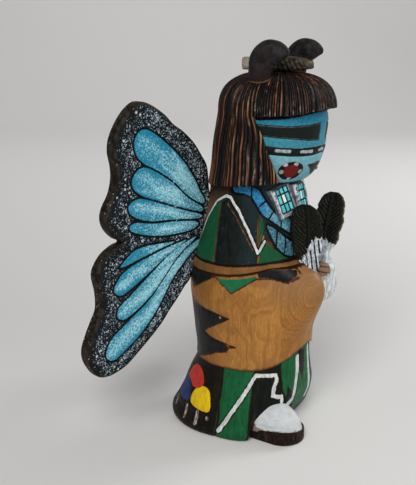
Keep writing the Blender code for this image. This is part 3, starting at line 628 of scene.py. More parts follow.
def bodiceMaterial():
    material, tree = newMaterial("bodicePaint")
    bare = woodColour(tree, (0.31, 0.138, 0.04), (0.12, 0.048, 0.015), 0.8)
    # painted shade: the bare wood darkens towards the neck, under the hair's lower edge
    darkening = arith(tree, "MULTIPLY_ADD", noise(tree, 2.5, (1.0, 1.0, 0.5), 4.0), 5.0, heightOf(tree))
    below = mixColour(tree, share(tree, darkening, 102.5, 108.5, 0.0, 0.75), bare, (0.03, 0.014, 0.006))
    below = paintOver(tree, below, "black", (0.004, 0.0055, 0.005), (0.012, 0.017, 0.016), wobble=0.25, wear=0.05)
    east = addNode(tree, "SeparateXYZ", {0: place(tree)}).outputs["Y"]
    cool = arith(tree, "MULTIPLY", share(tree, east, -8.0, -17.0, 0.0, 0.6), share(tree, layer(tree, "black"), 0.0, 1.0))
    below = mixColour(tree, cool, below, (0.014, 0.031, 0.036))
    below = mixColour(tree, arith(tree, "MULTIPLY", dots(tree, 1.1, 0.16, 0.16), 0.3), below, (0.3, 0.32, 0.32))
    green = mixColour(tree, share(tree, addNode(tree, "SeparateXYZ", {0: place(tree)}).outputs["Y"], -31.0, -25.0),
                      (0.001, 0.066, 0.04), (0.009, 0.075, 0.025))
    below = paintOver(tree, below, "green", green, mixColour(tree, 0.18, green, (0.012, 0.17, 0.08)), wobble=0.2, wear=0.08)
    below = paintOver(tree, below, "sienna", (0.12, 0.04, 0.015), (0.26, 0.1, 0.04), wobble=0.35, wear=0.5)
    below = paintOver(tree, below, "burnt", (0.03, 0.012, 0.005), (0.15, 0.05, 0.02), wobble=0.4, edge=0.25)
    below = paintOver(tree, below, "tan", (0.3, 0.12, 0.04), (0.42, 0.2, 0.07), wobble=0.3)
    speck = noise(tree, 0.9, detail=4.0, rough=0.7)
    royal = mixColour(tree, share(tree, speck, 0.35, 0.65), (0.008, 0.13, 0.3), (0.05, 0.32, 0.6))
    cyan = mixColour(tree, share(tree, speck, 0.35, 0.62), (0.03, 0.17, 0.24), (0.16, 0.4, 0.52))
    steel = mixColour(tree, share(tree, speck, 0.38, 0.62), (0.012, 0.08, 0.12), (0.13, 0.3, 0.38))
    stain = noise(tree, 1.6, (1.0, 1.0, 0.4), 4.0, 0.7)
    for name, colour in (("blue", mixColour(tree, layer(tree, "later"), royal, cyan)), ("steel", steel)):
        colour = mixColour(tree, share(tree, stain, 0.56, 0.66, 0.0, 0.6), colour, (0.012, 0.03, 0.04))
        rough = arith(tree, "SUBTRACT", noise(tree, 1.1, detail=3.0), 0.5)
        reach = arith(tree, "MULTIPLY_ADD", rough, 0.8, layer(tree, name))
        below = mixColour(tree, share(tree, arith(tree, "ADD", reach, 1.15), -0.15, 0.15), below, (0.003, 0.003, 0.004))
        below = mixColour(tree, share(tree, reach, -0.1, 0.12), below, colour)
    halo = arith(tree, "ADD", layer(tree, "white"), 0.6)
    shade = share(tree, arith(tree, "MULTIPLY_ADD", arith(tree, "SUBTRACT", noise(tree, 1.2), 0.5), 0.9, halo), -0.1, 0.15)
    below = mixColour(tree, shade, below, (0.008, 0.005, 0.003))
    below = paintOver(tree, below, "white", (0.5, 0.52, 0.5), (0.82, 0.84, 0.82), wobble=0.45, wear=0.3)
    belt = layer(tree, "belt")
    band = share(tree, arith(tree, "MULTIPLY_ADD", arith(tree, "SUBTRACT", noise(tree, 1.5), 0.5), 0.5, belt), 0.25, 0.6)
    burn = share(tree, arith(tree, "MULTIPLY_ADD", noise(tree, 1.8, detail=3.0), 0.9, belt), -0.5, -0.1)
    below = mixColour(tree, burn, below, (0.009, 0.004, 0.002))
    below = mixColour(tree, band, below, bare)
    finishMaterial(tree, below, share(tree, noise(tree, 2.0), 0.3, 0.7, 0.4, 0.58),
                   [(noise(tree, 0.8, (1.0, 1.0, 0.3), 4.0, 0.7), 0.09)])
    return material


bodiceTable["firstLow"] = [(-100, 109.6), (-95, 108.3), (-83.7, 108.3), (-73, 107.1), (-65.4, 103.7), (-57.8, 99.8),
                           (-47.1, 97.2), (-34.6, 94.1), (-18.9, 90.6), (2, 88.6)]
bodiceTable["firstHigh"] = [(-100, 112.0), (-84, 112.0), (-73.2, 111.2), (-64.5, 109.6), (-56.3, 105.8), (-46.9, 101.6),
                            (-40, 99.6), (-32.8, 98.4), (-18, 96.8), (2, 95.8)]
bodiceTable["secondLow"] = [(-50.3, 94.4), (-47.4, 92.2), (-44.4, 90.0), (-37.1, 85.6), (-25.9, 81.9), (-17.4, 80.4), (2, 79.4)]
bodiceTable["secondHigh"] = [(-50.4, 95.5), (-43, 94.0), (-37.2, 92.6), (-26.9, 89.4), (-16.9, 87.0), (2, 85.2)]
bodiceTable["joints"] = [
    [(-75.5, 112), (-72.4, 106)], [(-61.6, 103.2), (-52, 106)], [(-51.4, 96.0), (-43.3, 101.0)], [(-32.5, 93.0), (-31.5, 99)],
    [(-17, 97.4), (-17.4, 90.0)], [(-37.6, 92.8), (-37.1, 85.4)], [(-25.6, 89.6), (-25.2, 81.8)], [(-12, 86.6), (-12, 80)],
    [(0, 96), (0, 79)],
]


hairTable = {
    # height, radius, place of the axis
    "stations": np.array([(107.0, 25.5, -12.5), (119.0, 25.0, -13.9), (127.4, 25.1, -14.8), (136.0, 25.1, -16.3),
                          (141.0, 25.1, -17.24)]),
    "crown": (141.0, 16.3, 2.6, 4.2, 7.0, 2.0),
    "bangs": (140.9, 2.2),
    "bottom": (111.9, 3.2),
    # height of the opening's foot, then share of the way up to the bangs and half angle
    "openingFoot": 104.0,
    "opening": np.array([(0.0, 42.0), (0.314, 54.0), (0.59, 67.0), (0.805, 76.0), (1.0, 88.4)]),
    "strands": 132,
    "depth": 0.75,
    "columns": 960,
}
strandRise = random.uniform(0.6, 1.0, 400)
strandTint = random.uniform(0.0, 1.0, 400)


def hairAxis(height):
    radius, middle = np.moveaxis(smoothRead(hairTable["stations"], height), -1, 0)
    return radius, middle


# Carved strands round the head: rounded ridges of random height, each split by one or two fine cuts.
# Gives the relief, the strand's own tint and how near its crest a point lies.
def strandRelief(turn, height):
    count = hairTable["strands"]
    angle = np.radians(turn)
    line = count * turn / 360.0 + 0.6 * np.sin(5 * angle + 0.4) + 0.5 * np.sin(11 * angle + 2.0)
    line = line + 0.2 * np.sin(height / 11.0 + 9 * angle) + 0.3 * np.sin(23 * angle + 1.0)
    index = np.floor(line).astype(int) % count
    within = line - np.floor(line)
    body = 1 - np.abs(2 * within - 1) ** 3
    cut = 0.1 * np.cos(2 * math.pi * (2 * within + 0.3 * np.sin(height / 9.0 + index))) * body
    return strandRise[index] * body + cut, strandTint[index], strandRise[index] * (1 - np.abs(2 * within - 1) ** 1.6)


# The hair below the bangs' line: upright profile loops set side by side round the back, from one edge of the face's
# opening to the other.
def makeHairFall():
    table = hairTable
    rows, columns = 58, table["columns"]
    bangs = table["bangs"][0]
    t = np.linspace(0, 1, columns)[None, :]
    climb = np.linspace(0, 1, rows)[:, None]
    height = 112 + (bangs - 112) * climb + 0.0 * t
    for _ in range(4):
        up = (height - table["openingFoot"]) / (bangs - table["openingFoot"])
        half = smoothRead(table["opening"], up)[..., 0]
        turn = half + t * (360 - 2 * half)
        low = table["bottom"][0] + table["bottom"][1] * np.cos(np.radians(turn))
        height = low + (bangs + 0.6 - low) * climb
    wrapped = (turn + 180) % 360 - 180
    # strands near the face come from under the bangs and lean forward with the opening's edge
    reachBack = 112.0
    start = 88.4 - 20.0 * np.clip(1 - up, 0, 1)
    source = reachBack - (reachBack - np.abs(wrapped)) * (reachBack - start) / (reachBack - half)
    source = np.where(np.abs(wrapped) < reachBack, np.sign(wrapped) * source, wrapped)
    relief, tint, crest = strandRelief(source % 360, height)
    radius, middle = hairAxis(np.minimum(height, bangs))
    tuck = smoothStep(height, bangs + 0.05, bangs + 0.6) * 1.0
    ends = 0.5 * (tint - 0.3) * np.clip(1 - climb * 12, 0, 1)
    low = height + ends
    edge = np.clip((1 - np.abs(2 * t - 1)) * 90, 0, 1)
    reach = radius - 0.1 - table["depth"] * (1 - relief) - tuck - 0.9 * (1 - edge) ** 2
    reach = reach - 0.7 * np.clip(1 - climb * 26, 0, 1) ** 2
    angle = np.radians(turn)
    front = np.stack([reach * np.sin(angle), middle - reach * np.cos(angle), low], -1)
    pick = np.linspace(rows - 1, 0, 5).astype(int)
    inner = np.full((5, columns), 14.0)
    back = np.stack([inner * np.sin(angle[pick]), middle[pick] - inner * np.cos(angle[pick]), low[pick] + 0.4], -1)
    paint = {
        "ridge": (crest, 0 * crest[pick]),
        "tint": (tint, tint[pick]),
        "faceEdge": (np.minimum(t, 1 - t) * 360 + 0 * relief, 0 * relief[pick]),
    }
    loops = np.concatenate([front, back]).transpose(1, 0, 2)[:, ::-1]
    paint = {key: np.concatenate(pair).T[:, ::-1] for key, pair in paint.items()}
    return ringSkin("hairFall", loops, paint, hairMaterial(), sharp=60)


# The crown over it: from a lip under the bangs up a rounded dome to the parting, strands running down it.
def makeHairCrown():
    table = hairTable
    columns = table["columns"]
    shoulder, rise, roundness, stretch, parting, flat = table["crown"]
    turn = np.arange(columns) * 360.0 / columns
    angle = np.radians(turn)
    face = np.clip(np.cos(angle), 0, 1)
    level, bump = table["bangs"]
    edge = level + bump * face ** 3
    inFront = np.cos(angle) > math.cos(math.radians(88.0))
    radius, middle = hairAxis(np.array([shoulder]))
    rings, crests, tints = [], [], []
    relief0, tint0, _ = strandRelief(turn, edge)
    ends = np.where(inFront, 0.55 * (tint0 - 0.6), 0.0)

    def addRing(reachX, reachY, centre, height, crest, tint):
        rings.append(np.stack([reachX * np.sin(angle), centre - reachY * np.cos(angle), height + 0 * angle], -1))
        crests.append(crest + 0 * angle)
        tints.append(tint + 0 * angle)

    addRing(12.0 + 0 * angle, 12.0 + 0 * angle, middle, edge + 1.2, -0.5, tint0)
    for inset in (5.0, 1.6, 0.9):
        inner = radius - inset - 0.1 - table["depth"] * (1 - relief0)
        addRing(inner, inner, middle, edge + 0.35 * inset / 5.0 + ends * (inset < 1.7), 0.2, tint0)
    for climb in np.linspace(0, 1, 12)[:-1]:
        height = edge + (shoulder + 2.4 - edge) * climb + ends * (1 - climb)
        relief, tint, crest = strandRelief(turn, height)
        radiusHere = radius + 0 * angle
        reach = radiusHere - 0.1 - table["depth"] * (1 - relief) - 0.35 * (climb == 0) * inFront
        # above the shoulder the dome's superellipse takes over
        over = np.clip((height - shoulder) / rise, 0, 1)
        fall = (1 - over ** roundness) ** (1 / roundness)
        addRing(reach * fall, reach * fall + stretch * (1 - fall), middle, height, crest, tint)
    base = math.asin((2.4 / rise) ** (roundness / 2))
    for climb in np.linspace(base, math.radians(88.5), 62):
        up = math.sin(climb) ** (2 / roundness)
        fall = math.cos(climb) ** (2 / roundness)
        height = shoulder + rise * up
        relief, tint, crest = strandRelief(turn, 145 + 26 * (climb - base))
        carve = table["depth"] * (1 - relief) * min(1.0, 2.2 * fall + 0.12)
        addRing((radius - 0.1) * fall - carve + 0.6 * (1 - fall), (radius - 0.1) * fall + stretch * (1 - fall) - carve,
                middle, height - 0.25 * (1 - relief) * (1 - fall), crest, tint)
    grid = np.stack(rings)
    # how far behind the face's opening a strand lies, counted as on the fall; the bangs stand apart at 200
    half = table["opening"][-1, 1]
    wrapped = np.abs((turn + 180.0) % 360.0 - 180.0)
    beyond = np.where(wrapped > half, (wrapped - half) * 180.0 / (180.0 - half), 200.0)
    paint = {"ridge": np.stack(crests), "tint": np.stack(tints), "faceEdge": np.broadcast_to(beyond, grid.shape[:2])}
    return ringSkin("hairCrown", grid, paint, hairMaterial(), sharp=70)


def hairMaterial():
    if "hairPaint" in bpy.data.materials:
        return bpy.data.materials["hairPaint"]
    material, tree = newMaterial("hairPaint")
    ridge, tint = layer(tree, "ridge"), layer(tree, "tint")
    fine = noise(tree, 0.8, (1.0, 1.0, 0.09), 3.0, 0.7)
    black = mixColour(tree, share(tree, fine, 0.3, 0.7), (0.003, 0.0028, 0.0026), (0.026, 0.02, 0.017))
    patch = noise(tree, 7.0, (1.0, 1.0, 0.3), 3.0, 0.6)
    hue = noise(tree, 2.2, (1.0, 1.0, 0.2), 2.0, 0.5)
    behind = layer(tree, "faceEdge")
    onBangs = share(tree, behind, 186.0, 199.0)
    tan = arith(tree, "MULTIPLY_ADD", onBangs, 0.6, share(tree, behind, 30.0, 80.0, 1.0, 0.4))
    tan = arith(tree, "MULTIPLY", tan, share(tree, hue, 0.4, 0.62))
    brown = mixColour(tree, tan, (0.19, 0.048, 0.022), (0.4, 0.21, 0.1))
    # bare wood shows on the crests of some strands, in patches and beside the face
    bare = arith(tree, "ADD", arith(tree, "MULTIPLY", tint, 0.42), arith(tree, "MULTIPLY", patch, 1.1))
    bare = arith(tree, "ADD", bare, arith(tree, "MULTIPLY", fine, 0.45))
    beside = arith(tree, "MULTIPLY", share(tree, behind, 6.0, 18.0, 0.38, 0.0), share(tree, heightOf(tree), 142.0, 154.0, 1.0, 0.0))
    bare = arith(tree, "ADD", bare, beside)
    rear = arith(tree, "MULTIPLY", share(tree, behind, 30.0, 80.0), share(tree, behind, 186.0, 199.0, 1.0, 0.0))
    rear = arith(tree, "MULTIPLY", rear, share(tree, heightOf(tree), 136.0, 154.0, 0.26, 0.0))
    bare = arith(tree, "ADD", bare, rear)
    crest = arith(tree, "MULTIPLY", share(tree, bare, 1.0, 1.3), share(tree, ridge, 0.52, 0.78))
    below = mixColour(tree, crest, black, brown)
    glint = arith(tree, "MULTIPLY", share(tree, ridge, 0.62, 0.85), share(tree, noise(tree, 1.0, (1.0, 1.0, 0.16), 3.0, 0.7), 0.56, 0.68))
    glint = arith(tree, "MULTIPLY", glint, share(tree, heightOf(tree), 149.0, 153.0, 1.0, 0.15))
    below = mixColour(tree, arith(tree, "MULTIPLY", glint, 0.5), below, (0.28, 0.23, 0.2))
    # painted highlights: grey glints along the bangs' lower edge; also greyish streaks beside the face low down
    bangsGlintAndStreak = arith(tree, "MULTIPLY", onBangs, share(tree, heightOf(tree), 142.0, 149.0, 0.8, 0.0))
    beside = arith(tree, "MULTIPLY", share(tree, behind, 14.0, 22.0), share(tree, behind, 30.0, 44.0, 0.8, 0.0))
    beside = arith(tree, "MULTIPLY", beside, share(tree, heightOf(tree), 119.0, 130.0, 1.0, 0.0))
    bangsGlintAndStreak = arith(tree, "MULTIPLY", arith(tree, "ADD", bangsGlintAndStreak, beside), share(tree, noise(tree, 1.3, (1.0, 1.0, 0.3), 3.0, 0.7), 0.5, 0.62))
    below = mixColour(tree, arith(tree, "MULTIPLY", bangsGlintAndStreak, share(tree, ridge, 0.45, 0.72)), below, (0.3, 0.28, 0.27))
    # painted shade: the grooves between the strands go near black
    below = mixColour(tree, share(tree, ridge, 0.16, 0.5, 1.0, 0.0), below, (0.0012, 0.001, 0.001))
    finishMaterial(tree, below, share(tree, fine, 0.3, 0.7, 0.4, 0.55), [(noise(tree, 0.5, (1.0, 1.0, 0.08), 3.0, 0.65), 0.1)])
    return material


faceTable = {
    "stations": np.array([(111.4, 9.0), (112.3, 12.8), (114.5, 16.5), (117.6, 18.9), (122.0, 20.9), (126.0, 22.0),
                          (131.0, 22.5), (141.0, 22.5), (145.0, 20.5)]),
    "axis": -15.7,
    "backShare": 0.55,
    # millimetres that one degree stands for round the mask
    "girth": 0.37,
    "eye": [(-100, 138.1), (-76.4, 137.7), (-49.8, 137.0), (-25, 137.2), (-7.7, 137.8), (-7.2, 130.2), (-24, 130.6),
            (-44.6, 131.6), (-73.3, 132.7), (-100, 133.2)],
    "band": [(-100, 129.6), (-70.8, 129.0), (-54, 128.3), (-33.2, 127.8), (0, 127.9), (0, 124.7), (-18, 124.2),
             (-43.1, 124.5), (-66.4, 125.3), (-100, 126.2)],
    "dashes": [[(-61.2, 127.2), (-46.8, 126.8)], [(-33.0, 126.4), (-18.0, 126.1)], [(-5.5, 126.2), (0, 126.3)]],
    "rosette": (-41.2, 118.1),
    "ring": (17.0, 4.2),
    "disc": (9.8, 2.9),
    "petals": [(-49.6, 121.2), (-36.4, 121.1), (-53.9, 118.0), (-28.2, 117.8), (-41.0, 114.7)],
    "mouth": [(-18.9, 120.3), (-8, 120.6), (0.5, 121.0), (0.5, 115.0), (-5, 116.2), (-11.6, 118.4)],
}


# Makes the painted mask: a half-round face whose chin rounds under; both cheeks carry the same drawing.
def makeFace():
    table = faceTable
    turn = np.arange(264) * 360.0 / 264 - 180.0
    height = np.linspace(111.4, 145.0, 98)[:, None] + 0.0 * turn
    turn = np.broadcast_to(turn, height.shape)
    radius = smoothRead(table["stations"], height)[..., 0]
    girth = table["girth"]
    u, v = -np.abs(turn) * girth, height
    cu, cv = table["rosette"][0] * girth, table["rosette"][1]

    def oval(size):
        across, up = size[0] * girth, size[1]
        return (1 - np.hypot((u - cu) / across, (v - cv) / up)) * min(across, up)

    petals = np.max([0.98 - np.hypot((u - a * girth) * 0.9, v - b) for a, b in table["petals"]], axis=0)
    paint = {
        "eye": insideBy(u, v, np.array(table["eye"]) * (girth, 1)),
        "band": insideBy(u, v, np.array(table["band"]) * (girth, 1)),
        "dash": strokes(u, v, table["dashes"], 0.64, girth),
        "ring": oval(table["ring"]),
        "disc": oval(table["disc"]),
        "petal": petals,
        "mouth": insideBy(u, v, np.array(table["mouth"]) * (girth, 1)),
        "shadow": height - 139.3 - 2.5 * np.clip(np.cos(np.radians(turn)), 0, 1) ** 3,
    }
    groove = (0.25 * smoothStep(0.35 - np.abs(paint["eye"] - 0.3), -0.3, 0.3)
              + 0.22 * smoothStep(0.3 - np.abs(paint["band"] - 0.2), -0.3, 0.3)
              + 0.22 * smoothStep(0.3 - np.abs(paint["ring"] - 0.2), -0.3, 0.3)
              + 0.15 * smoothStep(paint["mouth"], -0.2, 0.4) - 0.1 * smoothStep(paint["dash"], -0.2, 0.4))
    angle = np.radians(turn)
    depth = np.where(np.cos(angle) > 0, 1.0, table["backShare"])
    reach = radius - 0.05 - groove
    grid = np.stack([reach * np.sin(angle), table["axis"] - reach * depth * np.cos(angle), height], -1)
    return ringSkin("face", grid, paint, faceMaterial(), sharp=60)


def faceMaterial():
    material, tree = newMaterial("facePaint")
    brush = noise(tree, 1.3, (1.0, 1.0, 1.6), 4.0, 0.65)
    deep = mixColour(tree, share(tree, brush, 0.3, 0.7), (0.01, 0.15, 0.24), (0.03, 0.25, 0.37))
    middle = mixColour(tree, share(tree, brush, 0.3, 0.7), (0.03, 0.19, 0.26), (0.06, 0.3, 0.38))
    soft = mixColour(tree, share(tree, brush, 0.3, 0.7), (0.14, 0.37, 0.44), (0.22, 0.5, 0.56))
    # the turquoise is paler low down; painted shade darkens it towards the top, under the bangs
    below = mixColour(tree, share(tree, heightOf(tree), 124.5, 129.0), soft, middle)
    below = mixColour(tree, share(tree, heightOf(tree), 131.0, 138.0), below, deep)
    ink = mixColour(tree, share(tree, brush, 0.35, 0.65), (0.005, 0.006, 0.006), (0.012, 0.015, 0.014))
    tan = mixColour(tree, share(tree, noise(tree, 2.6, detail=3.0), 0.35, 0.6), (0.015, 0.02, 0.02), (0.13, 0.12, 0.11))

    def lay(below, name, inset, colour, wobble=0.25, edge=0.08):
        rough = arith(tree, "SUBTRACT", noise(tree, 1.3, detail=3.0), 0.5)
        reach = arith(tree, "MULTIPLY_ADD", rough, wobble * 2.0, layer(tree, name))
        return mixColour(tree, share(tree, arith(tree, "SUBTRACT", reach, inset), -edge, edge), below, colour)

    below = lay(below, "eye", 0.0, ink)
    below = lay(below, "eye", 0.36, tan, 0.3)
    below = lay(below, "eye", 0.6, mixColour(tree, brush, (0.003, 0.005, 0.005), (0.012, 0.018, 0.017)), 0.3)
    below = lay(below, "band", 0.0, ink)
    below = paintOver(tree, below, "dash", (0.2, 0.23, 0.25), (0.5, 0.53, 0.56), wobble=0.3, wear=0.25)
    below = lay(below, "ring", 0.0, ink)
    below = paintOver(tree, below, "petal", (0.3, 0.3, 0.29), (0.52, 0.51, 0.49), wobble=0.3, wear=0.2)
    below = lay(below, "disc", 0.0, mixColour(tree, brush, (0.12, 0.008, 0.008), (0.185, 0.014, 0.012)), 0.15)
    below = lay(below, "mouth", -0.25, tan, 0.4)
    below = lay(below, "mouth", 0.05, mixColour(tree, brush, (0.009, 0.012, 0.009), (0.024, 0.028, 0.022)), 0.2)
    below = lay(below, "shadow", 0.0, (0.004, 0.004, 0.004), 0.3)
    finishMaterial(tree, below, share(tree, brush, 0.3, 0.7, 0.42, 0.56), [(brush, 0.08)])
    return material


whorlTable = {
    "halfWidth": 4.5,
    # distance back to front, height, half depth
    "path": np.array([(-17.6, 150.9, 2.4), (-17.7, 154.2, 4.5), (-18.2, 158.3, 5.0), (-19.4, 162.3, 5.95), (-21.9, 164.95, 5.75),
                      (-24.9, 165.75, 4.75), (-27.4, 165.7, 3.5), (-29.2, 165.3, 2.2), (-30.1, 164.9, 1.2), (-30.5, 164.7, 0.35)]),
}


# Makes one whorl: an oval tube along a curled path whose depth swells and then runs out to a point.
def makeWhorl(name, across, rearward):
    table = whorlTable
    rows, columns = 92, 56
    keys = np.arange(len(table["path"]), dtype=float)
    stations = np.column_stack([keys, table["path"]])
    path = smoothRead(stations, np.linspace(0, keys[-1], rows)) + (rearward, -0.13, 0.0)
    way = np.gradient(path[:, :2], axis=0)
    way /= np.linalg.norm(way, axis=1)[:, None]
    out = np.stack([way[:, 1], -way[:, 0]], -1)
    angle = np.arange(columns) * 2 * math.pi / columns
    deep = path[:, 2:3]
    wide = table["halfWidth"] * np.minimum(1.0, deep / 4.4) * (0.55 + 0.45 * smoothStep(path[:, 1:2], 151.0, 158.0))
    rise = deep * np.sin(angle)
    grid = np.stack([across + wide * np.cos(angle), path[:, :1] + out[:, :1] * rise, path[:, 1:2] + out[:, 1:] * rise], -1)
    # height over the hair's dome, which the whorl grows out of, for the bare line round its foot
    shoulder, domeRise, roundness = hairTable["crown"][:3]
    radius, middle = hairTable["stations"][-1, 1:]
    apart = np.clip(np.hypot(grid[..., 0], grid[..., 1] - middle) / radius, 0, 1)
    foot = grid[..., 2] - shoulder - domeRise * (1 - apart ** roundness) ** (1 / roundness)
    return ringSkin(name, grid[:, ::-1], {"foot": foot[:, ::-1]}, whorlMaterial())


def whorlMaterial():
    if "whorlPaint" in bpy.data.materials:
        return bpy.data.materials["whorlPaint"]
    material, tree = newMaterial("whorlPaint")
    brush = noise(tree, 1.6, (1.0, 0.5, 0.7), 4.0, 0.65)
    below = mixColour(tree, share(tree, brush, 0.35, 0.7), (0.01, 0.009, 0.009), (0.032, 0.028, 0.029))
    cloud = noise(tree, 5.0, detail=3.0)
    below = mixColour(tree, share(tree, cloud, 0.52, 0.72, 0.0, 0.5), below, (0.04, 0.026, 0.02))
    speck = noise(tree, 0.6, detail=3.0, rough=0.7)
    below = mixColour(tree, share(tree, speck, 0.66, 0.76, 0.0, 0.4), below, (0.12, 0.1, 0.09))
    foot = arith(tree, "MULTIPLY_ADD", noise(tree, 2.0), 1.2, layer(tree, "foot"))
    below = mixColour(tree, share(tree, heightOf(tree), 156.0, 163.0, 0.6, 0.0), below, (0.02, 0.011, 0.01))
    below = mixColour(tree, share(tree, foot, 0.6, 1.5, 0.9, 0.0), below, (0.24, 0.14, 0.07))
    finishMaterial(tree, below, share(tree, brush, 0.3, 0.7, 0.42, 0.58), [(noise(tree, 1.1, detail=4.0), 0.12)])
    return material


tieTable = {"back": -1.6, "front": -32.2, "low": 157.2, "height": 6.2, "lift": 1.6, "taper": 0.5, "halfWidth": 4.2,
            "ribs": 11, "wrap": (0.2, 0.96), "slant": 0.05}


# Makes the tie: a squared bar with plain stubs, its middle wrapped in ribs that slant round it.
def makeTie():
    table = tieTable
    rows, columns = 176, 60
    run = np.linspace(0, 1, rows)[:, None]
    angle = np.arange(columns) * 2 * math.pi / columns
    corner = (np.abs(np.cos(angle)) ** 4 + np.abs(np.sin(angle)) ** 4) ** -0.25
    low, high = table["wrap"]
    slant = run + table["slant"] * np.sin(angle)
    within = np.clip((slant - low) / (high - low), 0, 1)
    on = smoothStep(slant, low - 0.02, low + 0.01) * smoothStep(-slant, -high - 0.02, -high + 0.01)
    rib = np.abs(np.sin(math.pi * within * table["ribs"])) ** 0.6
    scale = 0.86 + on * (0.11 + 0.15 * rib)
    scale = scale * (1 - 0.35 * np.clip(1 - run / 0.02, 0, 1) ** 2 - 0.35 * np.clip(1 - (1 - run) / 0.02, 0, 1) ** 2)
    half = 0.5 * table["height"] * (1 - table["taper"] * run ** 4)
    grid = np.stack([scale * table["halfWidth"] * corner * np.cos(angle),
                     table["back"] + run * (table["front"] - table["back"]) + 0 * scale,
                     table["low"] + table["lift"] * run ** 3 + half + scale * half * corner * np.sin(angle)], -1)
    paint = {"wrap": on + 0 * scale, "rib": rib * on, "run": run + 0 * scale}
    return ringSkin("hairTie", grid, paint, tieMaterial(), sharp=50)


def tieMaterial():
    material, tree = newMaterial("tiePaint")
    brush = noise(tree, 1.2, (1.0, 0.4, 1.0), 4.0, 0.65)
    rear = mixColour(tree, share(tree, brush, 0.3, 0.7), (0.2, 0.16, 0.13), (0.46, 0.38, 0.33))
    front = mixColour(tree, share(tree, brush, 0.3, 0.7), (0.04, 0.032, 0.016), (0.13, 0.1, 0.055))
    stub = mixColour(tree, share(tree, layer(tree, "run"), 0.4, 0.6), rear, front)
    cord = mixColour(tree, share(tree, brush, 0.35, 0.7), (0.014, 0.011, 0.007), (0.1, 0.082, 0.055))
    # painted shade: the cord darkens between its ribs
    cord = mixColour(tree, share(tree, layer(tree, "rib"), 0.1, 0.6, 1.0, 0.0), cord, (0.006, 0.005, 0.003))
    below = mixColour(tree, layer(tree, "wrap"), stub, cord)
    finishMaterial(tree, below, 0.5, [(brush, 0.12)])
    return material


pendantTable = {"turns": (-32.0, 0.0, 32.0), "width": 8.8, "height": 13.2, "thick": 4.6, "bevel": 0.9, "flare": 2.6,
                "frame": 1.2, "sill": (0.35, 1.9), "middle": 104.9, "radius": 19.9, "axis": -10.2, "lean": math.radians(14), "roll": -0.5,
                # heights of the tile rows' borders, as shares of the inlay
                "rows": (0.0, 0.36, 0.74, 1.0)}


# Makes one framed inlay: a bevelled block whose face is a height map of rim, grout and nine rounded tiles.
def makePendant(name, turn):
    table = pendantTable
    angle = math.radians(turn)
    outward = np.array([math.sin(angle), -math.cos(angle), 0.0])
    level = np.array([math.cos(angle), math.sin(angle), 0.0])
    rise = np.array([0.0, 0.0, 1.0]) * math.cos(table["lean"]) - outward * math.sin(table["lean"])
    face = np.cross(level, rise)
    roll = angle * table["roll"]
    across = level * math.cos(roll) + rise * math.sin(roll)
    up = rise * math.cos(roll) - level * math.sin(roll)
    centre = np.array([0.0, table["axis"], table["middle"]]) + outward * table["radius"]
    width, tall = table["width"], table["height"]
    a, b = np.meshgrid(np.linspace(-1, 1, 48), np.linspace(-1, 1, 72))
    x, y = a * (0.5 * width - 0.25), b * (0.5 * tall - 0.25)
    edge = np.minimum(0.5 * width - np.abs(x), 0.5 * tall - np.abs(y))
    top, bottom = table["sill"]
    inlay = np.minimum(0.5 * width - np.abs(x) - table["frame"], np.minimum(0.5 * tall - y - top, 0.5 * tall + y - bottom))
    wide, high = width - 2 * table["frame"] - 0.2, tall - top - bottom - 0.2
    shift = 0.5 * (bottom - top)
    col = np.clip(np.floor((x / wide + 0.5) * 3), 0, 2).astype(int)
    cuts = np.array(table["rows"])
    row = np.clip(np.searchsorted(cuts, (y - shift) / high + 0.5) - 1, 0, 2)
    cx, cy = ((col + 0.5) / 3 - 0.5) * wide, (0.5 * (cuts[row] + cuts[row + 1]) - 0.5) * high + shift
    tile = np.minimum(wide / 6 - 0.34 - np.abs(x - cx), 0.5 * (cuts[row + 1] - cuts[row]) * high - 0.36 - np.abs(y - cy))
    tone = (col * 5 + row * 3 + 2) % 7 / 7.0
    tone = np.where((col == 1) & (row == 1), 2.0, tone)
    rim = 0.25 * np.clip(1 - edge / 0.6, 0, 1) ** 2
    depth = -rim - 0.42 * smoothStep(inlay, -0.1, 0.15) + 0.25 * smoothStep(tile, 0.0, 0.25)
    back = -table["thick"]
    behind = 0.5 * width + table["bevel"] + table["flare"] * np.clip(b, 0, 1)

    def lay(p, q, d):
        return centre + across * p[..., None] + up * q[..., None] + face * d[..., None]

    front = lay(x, y, depth)
    rear = lay(a * behind, b * (0.5 * tall + table["bevel"]), np.full(x.shape, back))
    worn = np.where(a < 0, 0.5 * width + x, 3.0)
    paint = {"worn": (worn, 3.0 + 0 * x), "inlay": (inlay, np.full(x.shape, -3.0)), "tile": (tile, np.full(x.shape, -3.0)), "tone": (tone, tone)}
    return sheetSkin(name, front, rear, paint, pendantMaterial(), sharp=45)


